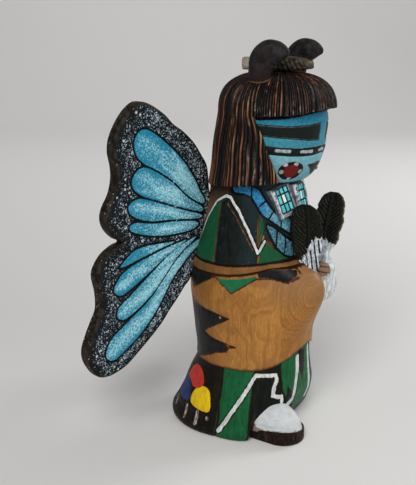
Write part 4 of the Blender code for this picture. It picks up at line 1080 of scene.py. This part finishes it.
def pendantMaterial():
    if "pendantPaint" in bpy.data.materials:
        return bpy.data.materials["pendantPaint"]
    material, tree = newMaterial("pendantPaint")
    scratch = noise(tree, 0.8, (1.0, 1.0, 0.4), 4.0, 0.7)
    silver = mixColour(tree, share(tree, scratch, 0.35, 0.65), (0.06, 0.065, 0.085), (0.36, 0.37, 0.42))
    silver = mixColour(tree, share(tree, layer(tree, "inlay"), -1.6, -1.15, 0.7, 0.0), silver, (0.055, 0.07, 0.09))
    pale = arith(tree, "MULTIPLY", share(tree, layer(tree, "worn"), 0.6, 1.0, 1.0, 0.0), share(tree, noise(tree, 1.2), 0.42, 0.56))
    silver = mixColour(tree, pale, silver, (0.75, 0.78, 0.82))
    below = mixColour(tree, share(tree, layer(tree, "inlay"), -0.08, 0.08), silver, (0.006, 0.007, 0.007))
    speck = noise(tree, 0.7, detail=3.0)
    teal = mixColour(tree, layer(tree, "tone"), (0.06, 0.55, 0.6), (0.18, 0.8, 0.82))
    teal = mixColour(tree, share(tree, speck, 0.45, 0.65, 0.0, 0.45), teal, (0.02, 0.24, 0.3))
    stone = mixColour(tree, share(tree, layer(tree, "tone"), 1.2, 1.6), teal, (0.85, 0.92, 0.92))
    reach = arith(tree, "MULTIPLY_ADD", arith(tree, "SUBTRACT", noise(tree, 0.9), 0.5), 0.3, layer(tree, "tile"))
    below = mixColour(tree, share(tree, reach, -0.06, 0.08), below, stone)
    metal = share(tree, layer(tree, "inlay"), -0.1, 0.05, 0.35, 0.0)
    finishMaterial(tree, below, share(tree, scratch, 0.3, 0.7, 0.34, 0.5), [(scratch, 0.06)], coat=0.15)
    shader = next(n for n in tree.nodes if n.type == "BSDF_PRINCIPLED")
    tree.links.new(metal, shader.inputs["Metallic"])
    return material


featherTable = {
    "width": 14.38,
    # share of the length, share of the width, thickness
    "stations": np.array([(0.0, 0.42, 4.6), (0.2, 0.72, 4.6), (0.27, 0.66, 4.5), (0.45, 0.93, 4.4), (0.5, 0.88, 4.3),
                          (0.68, 1.0, 4.0), (0.73, 0.93, 3.8), (0.88, 0.84, 3.2), (0.96, 0.6, 2.6), (1.0, 0.3, 2.0)]),
}


# Makes one feather: a leaf with a raised rib, slanting cut barbs and nicked edges; its foot is painted as down.
def makeFeather(name, base, tip, lean, down, pale):
    table = featherTable
    base, tip = np.array(base), np.array(tip)
    axis = tip - base
    length = np.linalg.norm(axis)
    across = np.array([lean, -1.0, 0.0])
    across /= np.linalg.norm(across)
    out = np.cross(axis / length, across)
    s, v = np.meshgrid(np.linspace(0, 1, 118), np.linspace(-1, 1, 50), indexing="ij")
    spread, thick = np.moveaxis(smoothRead(table["stations"], s), -1, 0)
    tipRound = np.sqrt(np.clip(1 - np.clip((s - 0.9) / 0.1, 0, 1) ** 2 * 0.86, 0, 1))
    nick = 0.035 * np.abs(np.sin(s * 31.0 + np.sign(v))) ** 8 * np.abs(v) ** 6
    half = 0.5 * table["width"] * (spread / np.maximum(tipRound, 0.3) * tipRound) * (1 - nick)
    if pale:
        half = half * (1 - 0.3 * np.exp(-((s - 0.24) / 0.13) ** 2) * (v > 0))
    # the rib stands off the middle, so each vane has its own width
    rib = 0.0 if pale else 0.24
    ride = np.where(v > rib, (v - rib) / (1 - rib), (rib - v) / (1 + rib))
    lift = np.interp(ride, [0, 0.07, 0.14, 0.55, 0.85, 1.0], [1.0, 0.95, 0.72, 0.78, 0.62, 0.22])
    barb = (s * length - 1.0 * ride * table["width"] * 0.5) / 2.0 + 0.2 * np.sin(s * 23 + 3 * ride + np.sign(v))
    cut = np.abs(np.sin(math.pi * barb)) ** 1.5 * smoothStep(ride, 0.07, 0.16) * (1 - 0.6 * smoothStep(s, 0.95, 1.0))
    lift = lift - 0.2 * (1 - cut) * smoothStep(ride, 0.07, 0.16)
    flat = 0.5 * thick * lift
    middle = base + axis * s[..., None] + across * (v * half)[..., None]
    front = middle + out * flat[..., None]
    back = middle - out * flat[..., None]
    u = v * half
    along = s * length
    white = down(along, u)
    slots = np.minimum(0.34 - np.abs((u + 0.25 * (along - 8) * 0.3 + 40.3) % 1.9 - 0.95), white - 0.8 - 20.0 * pale)
    trim = np.where(pale & (u > 0), half - u, 3.0)
    paint = {"barb": (cut, cut), "rib": (0.5 - 6 * ride, 0.5 - 6 * ride), "down": (white, white), "slots": (slots, slots),
             "rim": (trim, trim)}
    return sheetSkin(name, front, back, paint, featherMaterial(), sharp=70)


def featherMaterial():
    if "featherPaint" in bpy.data.materials:
        return bpy.data.materials["featherPaint"]
    material, tree = newMaterial("featherPaint")
    fine = noise(tree, 0.8, (1.0, 1.0, 0.5), 4.0, 0.7)
    below = mixColour(tree, share(tree, fine, 0.35, 0.7), (0.0025, 0.003, 0.002), (0.011, 0.011, 0.0075))
    crest = arith(tree, "MULTIPLY", share(tree, layer(tree, "barb"), 0.75, 1.0), share(tree, noise(tree, 0.9, detail=4.0, rough=0.7), 0.44, 0.58))
    below = mixColour(tree, arith(tree, "MULTIPLY", crest, 0.65), below, (0.07, 0.067, 0.046))
    below = mixColour(tree, share(tree, layer(tree, "rib"), -0.1, 0.25, 0.0, 0.4), below, (0.012, 0.012, 0.009))
    rim = arith(tree, "MULTIPLY_ADD", noise(tree, 1.4), 0.5, layer(tree, "rim"))
    below = mixColour(tree, share(tree, rim, 0.35, 0.75, 0.7, 0.0), below, (0.16, 0.12, 0.06))
    white = mixColour(tree, share(tree, noise(tree, 0.9, (1.0, 1.0, 0.3), 4.0, 0.7), 0.35, 0.65), (0.3, 0.36, 0.4), (0.82, 0.88, 0.92))
    reach = arith(tree, "MULTIPLY_ADD", arith(tree, "SUBTRACT", noise(tree, 1.2, (1.0, 1.0, 0.3), 4.0, 0.7), 0.5), 6.0, layer(tree, "down"))
    below = mixColour(tree, share(tree, reach, -0.1, 0.3), below, white)
    slot = arith(tree, "MULTIPLY_ADD", arith(tree, "SUBTRACT", noise(tree, 1.0), 0.5), 0.5, layer(tree, "slots"))
    below = mixColour(tree, share(tree, slot, -0.08, 0.1), below, (0.008, 0.008, 0.007))
    finishMaterial(tree, below, 0.5, [(fine, 0.1)])
    return material


# Makes an egg-shaped lump from level rings between its poles.
def eggGrid(centre, radii, rows, columns, squash=1.0):
    climb = np.linspace(-math.pi / 2 + 0.03, math.pi / 2 - 0.03, rows)[:, None]
    angle = np.arange(columns) * 2 * math.pi / columns
    return np.stack([centre[0] + radii[0] * np.cos(climb) ** squash * np.sin(angle),
                     centre[1] - radii[1] * np.cos(climb) ** squash * np.cos(angle),
                     centre[2] + radii[2] * np.sin(climb) + 0 * angle], -1)


# The hand that holds the feathers: an egg with the fingers cut into it as slanting grooves.
def makeHand():
    grid = eggGrid((2.6, -38.6, 73.2), (4.6, 4.0, 4.0), 60, 90)
    centre = np.array((2.6, -38.6, 73.2))
    x, z = grid[..., 0] - centre[0], grid[..., 2] - centre[2]
    cut = 0.3 - np.abs((z + 0.35 * x + 40) % 2.7 - 1.3)
    front = smoothStep(-(grid[..., 1] - centre[1]), -1.5, 0.5)
    grid = centre + (grid - centre) * (1 - 0.09 * (smoothStep(cut, -0.3, 0.3) * front))[..., None]
    return ringSkin("handLeft", grid, {"cut": cut * front - (1 - front)}, handMaterial(), sharp=70)


def handMaterial():
    material, tree = newMaterial("handWood")
    below = woodColour(tree, (0.28, 0.175, 0.105), (0.16, 0.1, 0.06), 0.8)
    below = paintOver(tree, below, "cut", (0.02, 0.01, 0.005), (0.1, 0.045, 0.02), wobble=0.4, edge=0.25)
    smear = share(tree, arith(tree, "MULTIPLY_ADD", noise(tree, 1.8, detail=4.0), -5.0, heightOf(tree)), 68.6, 69.8, 1.0, 0.0)
    below = mixColour(tree, smear, below, (0.6, 0.62, 0.62))
    finishMaterial(tree, below, 0.5, [(noise(tree, 0.8), 0.08)])
    return material


# The sleeve's painted end: an egg with brush furrows.
def makeSleeve():
    grid = eggGrid((9.0, -37.6, 68.0), (7.0, 5.6, 10.2), 60, 90)
    return ringSkin("sleeveLeft", grid, {}, sleeveMaterial())


def sleeveMaterial():
    material, tree = newMaterial("sleevePaint")
    brush = noise(tree, 0.9, (1.0, 1.0, 0.18), 4.0, 0.7)
    below = mixColour(tree, share(tree, brush, 0.32, 0.62), (0.36, 0.39, 0.4), (0.8, 0.85, 0.86))
    bangsGlintAndStreak = noise(tree, 2.4, detail=4.0, rough=0.7)
    below = mixColour(tree, share(tree, bangsGlintAndStreak, 0.62, 0.74, 0.0, 0.6), below, (0.22, 0.15, 0.08))
    finishMaterial(tree, below, 0.5, [(brush, 0.14)])
    return material


footTable = {"side": -15.2, "half": 9.6, "heel": -8.0, "toe": -39.8, "sole": 5.4, "instep": 16.8, "length": 19.0,
             "inset": 0.6}


# Height above the white's lower edge, which runs level round the toe and climbs beside the hem.
def whiteRise(grid):
    return grid[..., 2] - 5.4 - 1.2 * np.clip(grid[..., 1] + 22.7, 0, 9)


# The moccasin's upper: a rounded dome over the sole.
def makeUpper():
    table = footTable
    base = table["sole"] - 0.4
    centreY = table["toe"] + table["inset"] + table["length"]
    climb = np.linspace(0, math.pi / 2 - 0.02, 70)[:, None]
    angle = np.arange(136) * 2 * math.pi / 136
    wide, tall = table["half"] - table["inset"], table["instep"] - base
    fall = np.cos(climb) ** 0.92
    seam = 0.2 * np.exp(-((climb - 0.16) / 0.05) ** 2)
    grid = np.stack([table["side"] + (wide - seam) * fall * np.sin(angle),
                     centreY - (table["length"] - seam) * fall * np.cos(angle),
                     base + tall * np.sin(climb) + 0 * angle], -1)
    under = grid[:1] - np.array([0, 0, 0.8])
    grid = np.concatenate([under, grid])
    return ringSkin("footUpper", grid, {"rise": whiteRise(grid)}, upperMaterial(), sharp=60)


def upperMaterial():
    material, tree = newMaterial("upperPaint")
    brush = noise(tree, 2.0, (0.5, 0.5, 1.0), 4.0, 0.65)
    below = mixColour(tree, share(tree, brush, 0.3, 0.65), (0.56, 0.59, 0.6), (0.68, 0.71, 0.72))
    dirt = arith(tree, "MULTIPLY_ADD", noise(tree, 1.6, detail=4.0, rough=0.7), 4.5, layer(tree, "rise"))
    below = mixColour(tree, share(tree, dirt, 2.1, 2.8, 0.8, 0.0), below, (0.16, 0.09, 0.05))
    scuff = noise(tree, 0.7, detail=4.0, rough=0.75)
    below = mixColour(tree, share(tree, scuff, 0.68, 0.76, 0.0, 0.5), below, (0.25, 0.2, 0.16))
    finishMaterial(tree, below, share(tree, brush, 0.3, 0.7, 0.4, 0.52), [(brush, 0.12), (scuff, 0.04)])
    return material


# The sole: the outline of a foot, straight sides and round toe, with eased edges.
def makeSole():
    table = footTable
    turn = np.radians(np.linspace(-90, 90, 120))
    rows = []
    profile = [(0.0, 0.9), (0.12, 0.4), (0.35, 0.15), (0.7, 0.0), (1.5, 0.0), (2.4, 0.0), (3.4, 0.0), (4.6, 0.02),
               (5.0, 0.12), (5.3, 0.35), (5.4, 0.8)]
    for height, shrink in profile:
        reach = table["half"] - shrink
        toeY = table["toe"] + table["half"]
        toe = np.stack([table["side"] + reach * np.sin(turn), toeY - reach * np.cos(turn)], -1)
        back = np.linspace(0, 1, 50)[1:, None]
        right = toe[-1] + (np.array([table["side"] + 0.8 * reach, table["heel"]]) - toe[-1]) * back
        left = toe[0] + (np.array([table["side"] - 0.8 * reach, table["heel"]]) - toe[0]) * back
        heel = np.stack([np.linspace(right[-1, 0], left[-1, 0], 18)[1:-1], np.full(16, table["heel"])], -1)
        loop = np.concatenate([toe, right, heel, left[::-1]])
        rows.append(np.column_stack([loop, np.full(len(loop), height)]))
    grid = np.stack(rows)
    return ringSkin("footSole", grid, {"rise": whiteRise(grid)}, soleMaterial(), sharp=60)


def soleMaterial():
    material, tree = newMaterial("solePaint")
    drip = noise(tree, 1.3, (1.0, 1.0, 0.12), 4.0, 0.7)
    below = mixColour(tree, share(tree, drip, 0.5, 0.68), (0.01, 0.0065, 0.004), (0.07, 0.034, 0.015))
    wear = noise(tree, 0.8, detail=4.0)
    below = mixColour(tree, share(tree, wear, 0.62, 0.74, 0.0, 0.6), below, (0.2, 0.14, 0.09))
    finishMaterial(tree, below, 0.55, [(drip, 0.15)])
    return material


wingTable = {
    "reach": 74.75,
    "height": 112.6,
    "thick": 5.8,
    "round": 1.6,
    "foot": 33.7,
    "rootDepth": 13.66,
    "sweep": math.radians(15),
    "gap": 0.15,
    "around": 620,
    "outline": np.array([
        (-0.060, 0.400), (-0.060, 0.600), (0.030, 0.606), (0.060, 0.632), (0.070, 0.690), (0.084, 0.736),
        (0.128, 0.779), (0.186, 0.829), (0.266, 0.875), (0.344, 0.908), (0.412, 0.948), (0.511, 0.987),
        (0.580, 1.000), (0.630, 0.992), (0.688, 0.962), (0.740, 0.918), (0.774, 0.874), (0.783, 0.828),
        (0.767, 0.775), (0.767, 0.730), (0.789, 0.680), (0.831, 0.637), (0.849, 0.598), (0.833, 0.558),
        (0.782, 0.520), (0.730, 0.500), (0.782, 0.490), (0.855, 0.464), (0.909, 0.420), (0.918, 0.384),
        (0.900, 0.325), (0.900, 0.265), (0.934, 0.222), (0.968, 0.180), (1.000, 0.130), (1.000, 0.088),
        (0.972, 0.048), (0.928, 0.012), (0.872, 0.000), (0.805, 0.003), (0.727, 0.018), (0.643, 0.052),
        (0.536, 0.100), (0.452, 0.143), (0.393, 0.183), (0.329, 0.222), (0.270, 0.262), (0.228, 0.285),
        (0.186, 0.335), (0.171, 0.385), (0.130, 0.420),
    ]),
    # number of an outline corner, and where along the spine its line to the middle ends
    "spineKeys": np.array([(0, 0.5), (1, 0.5), (2, 0.55), (3, 0.62), (4, 0.8), (5, 1.0), (19, 1.0), (21, 0.85), (23, 0.65),
                           (25, 0.5), (27, 0.35), (29, 0.12), (31, 0.0), (46, 0.0), (47, 0.05), (48, 0.2), (49, 0.35),
                           (50, 0.45), (51, 0.5)]),
    "spine": np.array([(0.0, 0.55, 0.27), (0.5, 0.32, 0.5), (1.0, 0.36, 0.705)]),
    # outlines of the eight blue cells in the plate's plane: reach and height
    "cells": [
        [(7.8, 100.8), (10.8, 104.8), (13.9, 110.6), (21.0, 120.2), (31.2, 128.9), (38, 133.6), (42.5, 135.6), (46.4, 134.0),
         (48.6, 129.6), (47.0, 124.8), (43.4, 121.1), (34.2, 116.9), (25.7, 111.1), (18.2, 103.9), (9.0, 98.9)],
        [(43.0, 120.2), (47.7, 118.4), (50.0, 114.5), (49.0, 111.1), (44.3, 107.7), (34.4, 104.3), (23.0, 99.9), (9.0, 95.3),
         (9.0, 98.0), (18.5, 103.0), (26, 110.2), (34.5, 116.0)],
        [(46.4, 107.2), (50.7, 106.0), (52.4, 103.7), (49.9, 99.8), (40.2, 96.3), (26.0, 95.2), (10.9, 92.8), (9.0, 94.4),
         (23.2, 99.0), (34.8, 103.4), (43.0, 106.4)],
        [(49.4, 97.8), (52.1, 95.3), (49.5, 93.2), (40.3, 90.2), (29.0, 88.6), (14.0, 88.6), (10.9, 91.9), (26.2, 94.2),
         (40.4, 95.3)],
        [(25.0, 85.2), (30.0, 85.6), (47.6, 86.6), (54.1, 82.7), (58.5, 78.9), (46.1, 81.6), (34.8, 83.7)],
        [(17.5, 85.2), (23.2, 84.4), (34.6, 82.9), (54.3, 78.6), (59.7, 73.2), (60.9, 70.3), (58.3, 67.9), (54.6, 67.9), (40.7, 74.7),
         (32.0, 79.8)],
        [(11.8, 85.6), (17.1, 84.6), (24, 82.6), (32.1, 78.9), (52.0, 66.4), (58.5, 63.0), (59.7, 58.9), (56.6, 56.8), (53.4, 57.2),
         (41.0, 63.1), (31.0, 72.6), (24.4, 78.9)],
        [(8.6, 84.6), (16.0, 82.6), (24.2, 78.0), (30.6, 72.2), (40.7, 62.2), (53.4, 55.6), (63.2, 50.1), (66.1, 44.3), (64.6, 41.0),
         (60.9, 40.4), (58.2, 41.8), (47.0, 47.7), (36.5, 57.3), (28.9, 68.4), (19.4, 76.5), (12.0, 80.9)],
    ],
}


# Points evenly along a smooth closed curve through the corners, with the corner number at each of them.
def wingCurve(table):
    corners = table["outline"] * (table["reach"], table["height"])
    count = len(corners)
    t = np.linspace(0, count, 40 * count, endpoint=False)
    k = t.astype(int)
    f = (t - k)[:, None]
    p0, p1, p2, p3 = (corners[(k + step) % count] for step in (-1, 0, 1, 2))
    curve = 0.5 * (2 * p1 + (p2 - p0) * f + (2 * p0 - 5 * p1 + 4 * p2 - p3) * f ** 2 + (3 * p1 - p0 - 3 * p2 + p3) * f ** 3)
    straight = p1 + (p2 - p1) * f
    curve = np.where(((k <= 1) | (k == count - 1))[:, None], straight, curve)
    # points stand twice as close at the root, where the veins are drawn together
    step = np.linalg.norm(np.roll(curve, -1, axis=0) - curve, axis=1) * np.where((t > 45.5) | (t < 5.0), 2.2, 1.0)
    run = np.concatenate([[0], np.cumsum(step)])
    want = np.linspace(0, run[-1], table["around"], endpoint=False)
    closed = np.concatenate([curve, curve[:1]])
    x = np.interp(want, run, closed[:, 0])
    z = np.interp(want, run, closed[:, 1])
    corner = np.interp(want, run, np.append(t, count))
    return np.stack([x, z], -1), corner


# Makes a wing plate: rings run from the front's spine out to the rim, over its rounded edge and back in behind.
def makeWing(name, side, table=wingTable):
    outline, corner = wingCurve(table)
    way = np.roll(outline, -1, axis=0) - np.roll(outline, 1, axis=0)
    way /= np.linalg.norm(way, axis=1)[:, None]
    inward = np.stack([way[:, 1], -way[:, 0]], -1)
    along = np.interp(corner, *table["spineKeys"].T)
    spine = np.stack([np.interp(along, table["spine"][:, 0], table["spine"][:, k]) for k in (1, 2)], -1)
    spine = spine * (table["reach"], table["height"])
    half, bevel = 0.5 * table["thick"], table["round"]
    inner = outline + inward * bevel
    faceShares = 1 - np.linspace(1, 0.0, 62)[:, None, None] ** 1.15 * 0.999
    faceRows = spine + (inner - spine) * faceShares
    turns = np.linspace(0, math.pi / 2, 6)[1:]
    rim = [(outline + inward * bevel * (1 - math.sin(a)), half - bevel * (1 - math.cos(a))) for a in turns]
    backShares = np.linspace(1, 0.001, 20)[:, None, None]
    backRows = spine + (inner - spine) * backShares
    flat = np.concatenate([faceRows, np.stack([r[0] for r in rim]), np.stack([r[0] for r in rim[::-1]]), backRows])
    depth = np.concatenate([np.full(len(faceRows), half), [r[1] for r in rim], [-r[1] for r in rim[::-1]],
                            np.full(len(backRows), -half)])
    depth = np.broadcast_to(-depth[:, None], flat.shape[:2]).copy()
    s, z = flat[..., 0], flat[..., 1] + table["foot"]
    cell = union(s, z, [rounded(o) for o in table["cells"]])
    closed = np.concatenate([outline, outline[:1]]) + (0, table["foot"])
    rimDistance = np.where(np.abs(depth) < half - 1e-6, 0.0, strokeDistance(s, z, closed[::4]))
    line = 0.28 * smoothStep(0.5 - np.abs(cell + 0.5), -0.3, 0.3) * (np.abs(depth) > half - 1e-6)
    depth = depth * (1 - line / half)
    wave = 0.12 * np.sin(s / 6.0 + 1.0) * np.sin(z / 7.0)
    outwards = np.array([side * math.cos(table["sweep"]), math.sin(table["sweep"]), 0.0])
    rearwards = np.array([-side * math.sin(table["sweep"]), math.cos(table["sweep"]), 0.0])
    root = np.array([0.0, table["rootDepth"], 0.0])
    grid = root + outwards * s[..., None] + rearwards * depth[..., None] + np.array([0, 0, 1.0]) * z[..., None]
    # both plates end at the middle plane
    grid[..., 0] = np.where(side * grid[..., 0] < table["gap"], side * table["gap"], grid[..., 0])
    hub = np.array([-6.0, 88.0])
    away = np.hypot(s - hub[0], (z - hub[1]) * np.where(z < hub[1], 0.75, 1.0))
    bearing = np.arctan2(z - hub[1], s - hub[0])
    near = table["outline"] * (table["reach"], table["height"]) + (0, table["foot"])
    inner = np.minimum(strokeDistance(s, z, near[2:12]), strokeDistance(s, z, near[38:50]))
    paint = {"cell": cell, "rim": rimDistance, "away": away, "fan": bearing * 30.0 + wave, "inner": inner}
    if side > 0:
        grid = grid[:, ::-1]
        paint = {key: value[:, ::-1] for key, value in paint.items()}
    return ringSkin(name, grid, paint, wingMaterial(), sharp=60, drawn=0.3)


# Paint dots: round cells of a random net, shown where the dot's own number is under a coverage.
def dots(tree, size, radius, coverage, stretch=(1.0, 1.0, 1.0)):
    net = addNode(tree, "TexVoronoi", {"Vector": place(tree, stretch), "Scale": 1.0 / size, "Randomness": 1.0})
    chance = addNode(tree, "SeparateColor", {0: net.outputs["Color"]})
    shown = addNode(tree, "Math", {0: chance.outputs[0], 1: coverage}, operation="LESS_THAN").outputs[0]
    spread = arith(tree, "MULTIPLY_ADD", chance.outputs[1], radius * 0.6, radius * 0.6)
    disc = share(tree, arith(tree, "SUBTRACT", spread, net.outputs["Distance"]), -0.08, 0.1)
    return arith(tree, "MULTIPLY", shown, disc)


def wingMaterial():
    if "wingPaint" in bpy.data.materials:
        return bpy.data.materials["wingPaint"]
    material, tree = newMaterial("wingPaint")
    cell, rim = layer(tree, "cell"), layer(tree, "rim")
    away, fan = layer(tree, "away"), layer(tree, "fan")
    flow = addNode(tree, "CombineXYZ", {0: arith(tree, "MULTIPLY", away, 0.06), 1: arith(tree, "MULTIPLY", fan, 0.5), 2: 0.0})
    streak = addNode(tree, "TexNoise", {"Vector": flow.outputs[0], "Scale": 1.0, "Detail": 4.0, "Roughness": 0.65}).outputs["Fac"]
    speck = noise(tree, 0.8, detail=3.0, rough=0.7)
    # cells: deep turquoise at their tips and edges, paler streaks down the middle and towards the root
    grit = noise(tree, 0.75, detail=3.0, rough=0.75)
    light = arith(tree, "ADD", share(tree, cell, 0.4, 3.0, -0.1, 0.25), share(tree, away, 60.0, 34.0, -0.17, 0.42))
    light = arith(tree, "ADD", light, share(tree, heightOf(tree), 86.0, 68.0, 0.0, 0.26))
    light = arith(tree, "ADD", light, share(tree, streak, 0.3, 0.7, -0.3, 0.35))
    light = arith(tree, "ADD", light, share(tree, grit, 0.36, 0.64, -0.35, 0.5))
    blue = mixColour(tree, share(tree, light, 0.0, 1.0), (0.016, 0.25, 0.39), (0.4, 0.78, 0.88))
    flecks = arith(tree, "MULTIPLY", dots(tree, 0.75, 0.33, 0.3), share(tree, away, 52.0, 40.0, 0.3, 0.8))
    blue = mixColour(tree, flecks, blue, (0.75, 0.93, 0.98))
    # border: black with splashed bluish white, closest near the cells and the root, thinner along the outer rim
    black = mixColour(tree, share(tree, speck, 0.4, 0.7), (0.004, 0.005, 0.006), (0.018, 0.024, 0.03))
    dense = arith(tree, "ADD", share(tree, rim, 1.2, 5.0, -0.07, 0.02), share(tree, away, 45.0, 18.0, 0.0, 0.03))
    dense = arith(tree, "ADD", dense, share(tree, layer(tree, "inner"), 2.0, 7.0, 0.05, -0.012))
    dense = arith(tree, "ADD", dense, share(tree, noise(tree, 6.0, detail=2.0), 0.35, 0.65, -0.035, 0.005))
    splash = arith(tree, "ADD", noise(tree, 0.68, detail=2.0, rough=0.65), dense)
    splash = share(tree, splash, 0.545, 0.6)
    large = dots(tree, 2.1, 0.26, 0.2)
    white = mixColour(tree, share(tree, noise(tree, 1.5, detail=3.0), 0.35, 0.65), (0.12, 0.19, 0.24), (0.66, 0.78, 0.86))
    border = mixColour(tree, splash, black, white)
    border = mixColour(tree, large, border, (0.6, 0.68, 0.72))
    line = share(tree, cell, -1.15, -0.8)
    border = mixColour(tree, line, border, (0.004, 0.005, 0.006))
    # rim: the plate's worn edge, near-black brown with bare spots
    edge = mixColour(tree, share(tree, noise(tree, 2.4, detail=4.0), 0.4, 0.65), (0.008, 0.006, 0.004), (0.034, 0.027, 0.02))
    scrape = noise(tree, 1.0, (1.0, 1.0, 0.7), 4.0, 0.75)
    edge = mixColour(tree, share(tree, scrape, 0.62, 0.7, 0.0, 0.6), edge, (0.2, 0.16, 0.12))
    edge = mixColour(tree, dots(tree, 1.1, 0.26, 0.2), edge, (0.28, 0.26, 0.23))
    border = mixColour(tree, share(tree, rim, 0.25, 1.1, 1.0, 0.0), border, edge)
    rough = arith(tree, "MULTIPLY_ADD", arith(tree, "SUBTRACT", noise(tree, 1.2, detail=4.0, rough=0.7), 0.5), 0.7, cell)
    below = mixColour(tree, share(tree, rough, -0.12, 0.16), border, blue)
    finishMaterial(tree, below, share(tree, speck, 0.3, 0.7, 0.42, 0.6), [(speck, 0.08), (splash, 0.05)])
    return material


skirt = makeSkirt()
pieces = [makeBlanket(), makeBodice(), makeHairFall(), makeHairCrown(), makeFace(),
          makeWhorl("whorlRight", -15.9, 1.2), makeWhorl("whorlLeft", 13.9, -0.7), makeTie()]
for number, turn in enumerate(pendantTable["turns"]):
    pieces.append(makePendant("pendant%d" % (number + 1), turn))
pieces.append(makeFeather("featherRight", (-3.6, -35.1, 71.0), (-9.0, -35.3, 104.0), 0.12,
                          lambda along, u: np.minimum((u + 5.1 - (along - 3.5) / 1.71) * 0.86, 19.5 - along), False))
pieces.append(makeFeather("featherLeft", (4.4, -36.4, 71.0), (11.0, -40.0, 106.4), -0.12,
                          lambda along, u: 16.0 - along - 0.5 * u, True))
pieces += [makeHand(), makeSleeve(), makeUpper(), makeSole()]
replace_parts(skirt, "figure")
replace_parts(makeWing("wingRight", -1), "wing_right")
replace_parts(makeWing("wingLeft", 1), "wing_left")
total = 0
for thing in bpy.context.scene.objects:
    if thing.type == "MESH" and "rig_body" in thing and "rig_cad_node" not in thing:
        count = sum(len(p.vertices) - 2 for p in thing.data.polygons)
        total += count
        print("piece", thing.name, count)
print("stage pieces: %d triangles" % total)


# The floor and backdrop as one sweep square to the view: level, then a quarter round, then upright.
def makeFloor():
    bend = np.radians(np.linspace(0, 90, 24))
    away = np.concatenate([[-4.0], 1.0 + 0.6 * np.sin(bend), [1.6]])[:, None]
    rise = np.concatenate([[0.0], 0.6 * (1 - np.cos(bend)), [1.8]])[:, None]
    across = np.array([4.0, -4.0])
    view = math.radians(30)
    points = np.stack([away * math.cos(view) - across * math.sin(view), away * math.sin(view) + across * math.cos(view),
                       rise + 0 * across], -1)
    mesh = bpy.data.meshes.new("floor")
    mesh.from_pydata(points.reshape(-1, 3).tolist(), [], gridQuads(len(away), 2, False).tolist())
    mesh.shade_smooth()
    floor = bpy.data.objects.new("floor", mesh)
    bpy.context.scene.collection.objects.link(floor)
    material, tree = newMaterial("floorPaint")
    finishMaterial(tree, (0.86, 0.85, 0.84), 0.9)
    mesh.materials.append(material)


def addLamp(name, place, aim, size, power, colour):
    data = bpy.data.lights.new(name, "AREA")
    data.shape = "RECTANGLE"
    data.size, data.size_y = size
    data.energy = power
    data.color = colour
    lamp = bpy.data.objects.new(name, data)
    lamp.location = place
    way = np.array(aim) - np.array(place)
    flat = math.hypot(way[0], way[1])
    lamp.rotation_euler = (math.atan2(flat, -way[2]), 0.0, math.atan2(-way[0], way[1]))
    bpy.context.scene.collection.objects.link(lamp)


makeFloor()
addLamp("keyLight", (-0.75, -0.25, 0.75), (0, 0, 0.08), (0.45, 0.45), 6.2, (1.0, 0.985, 0.96))
addLamp("fillLight", (-0.2, -0.95, 0.4), (0, 0, 0.08), (0.7, 0.6), 2.3, (0.96, 0.98, 1.0))
addLamp("rimLight", (0.75, -0.4, 0.5), (0, 0, 0.1), (0.35, 0.35), 3.0, (1.0, 1.0, 1.0))
addLamp("backdropLight", (0.45, 0.26, 0.95), (1.4, 0.81, 0.35), (1.6, 0.5), 5.0, (1.0, 1.0, 1.0))
world = bpy.data.worlds.new("studio")
world.use_nodes = True
world.node_tree.nodes["Background"].inputs[0].default_value = (0.82, 0.83, 0.85, 1.0)
world.node_tree.nodes["Background"].inputs[1].default_value = 0.17
bpy.context.scene.world = world
bpy.context.scene.view_settings.view_transform = "Standard"

camera = bpy.data.cameras.new("camera")
camera.lens = 62.13
camera.clip_start, camera.clip_end = 0.02, 20.0
eye = bpy.data.objects.new("camera", camera)
eye.location = (-0.3224, -0.1697, 0.178)
eye.rotation_euler = (math.radians(75.1), 0.0, math.radians(-60))
bpy.context.scene.collection.objects.link(eye)
bpy.context.scene.camera = eye
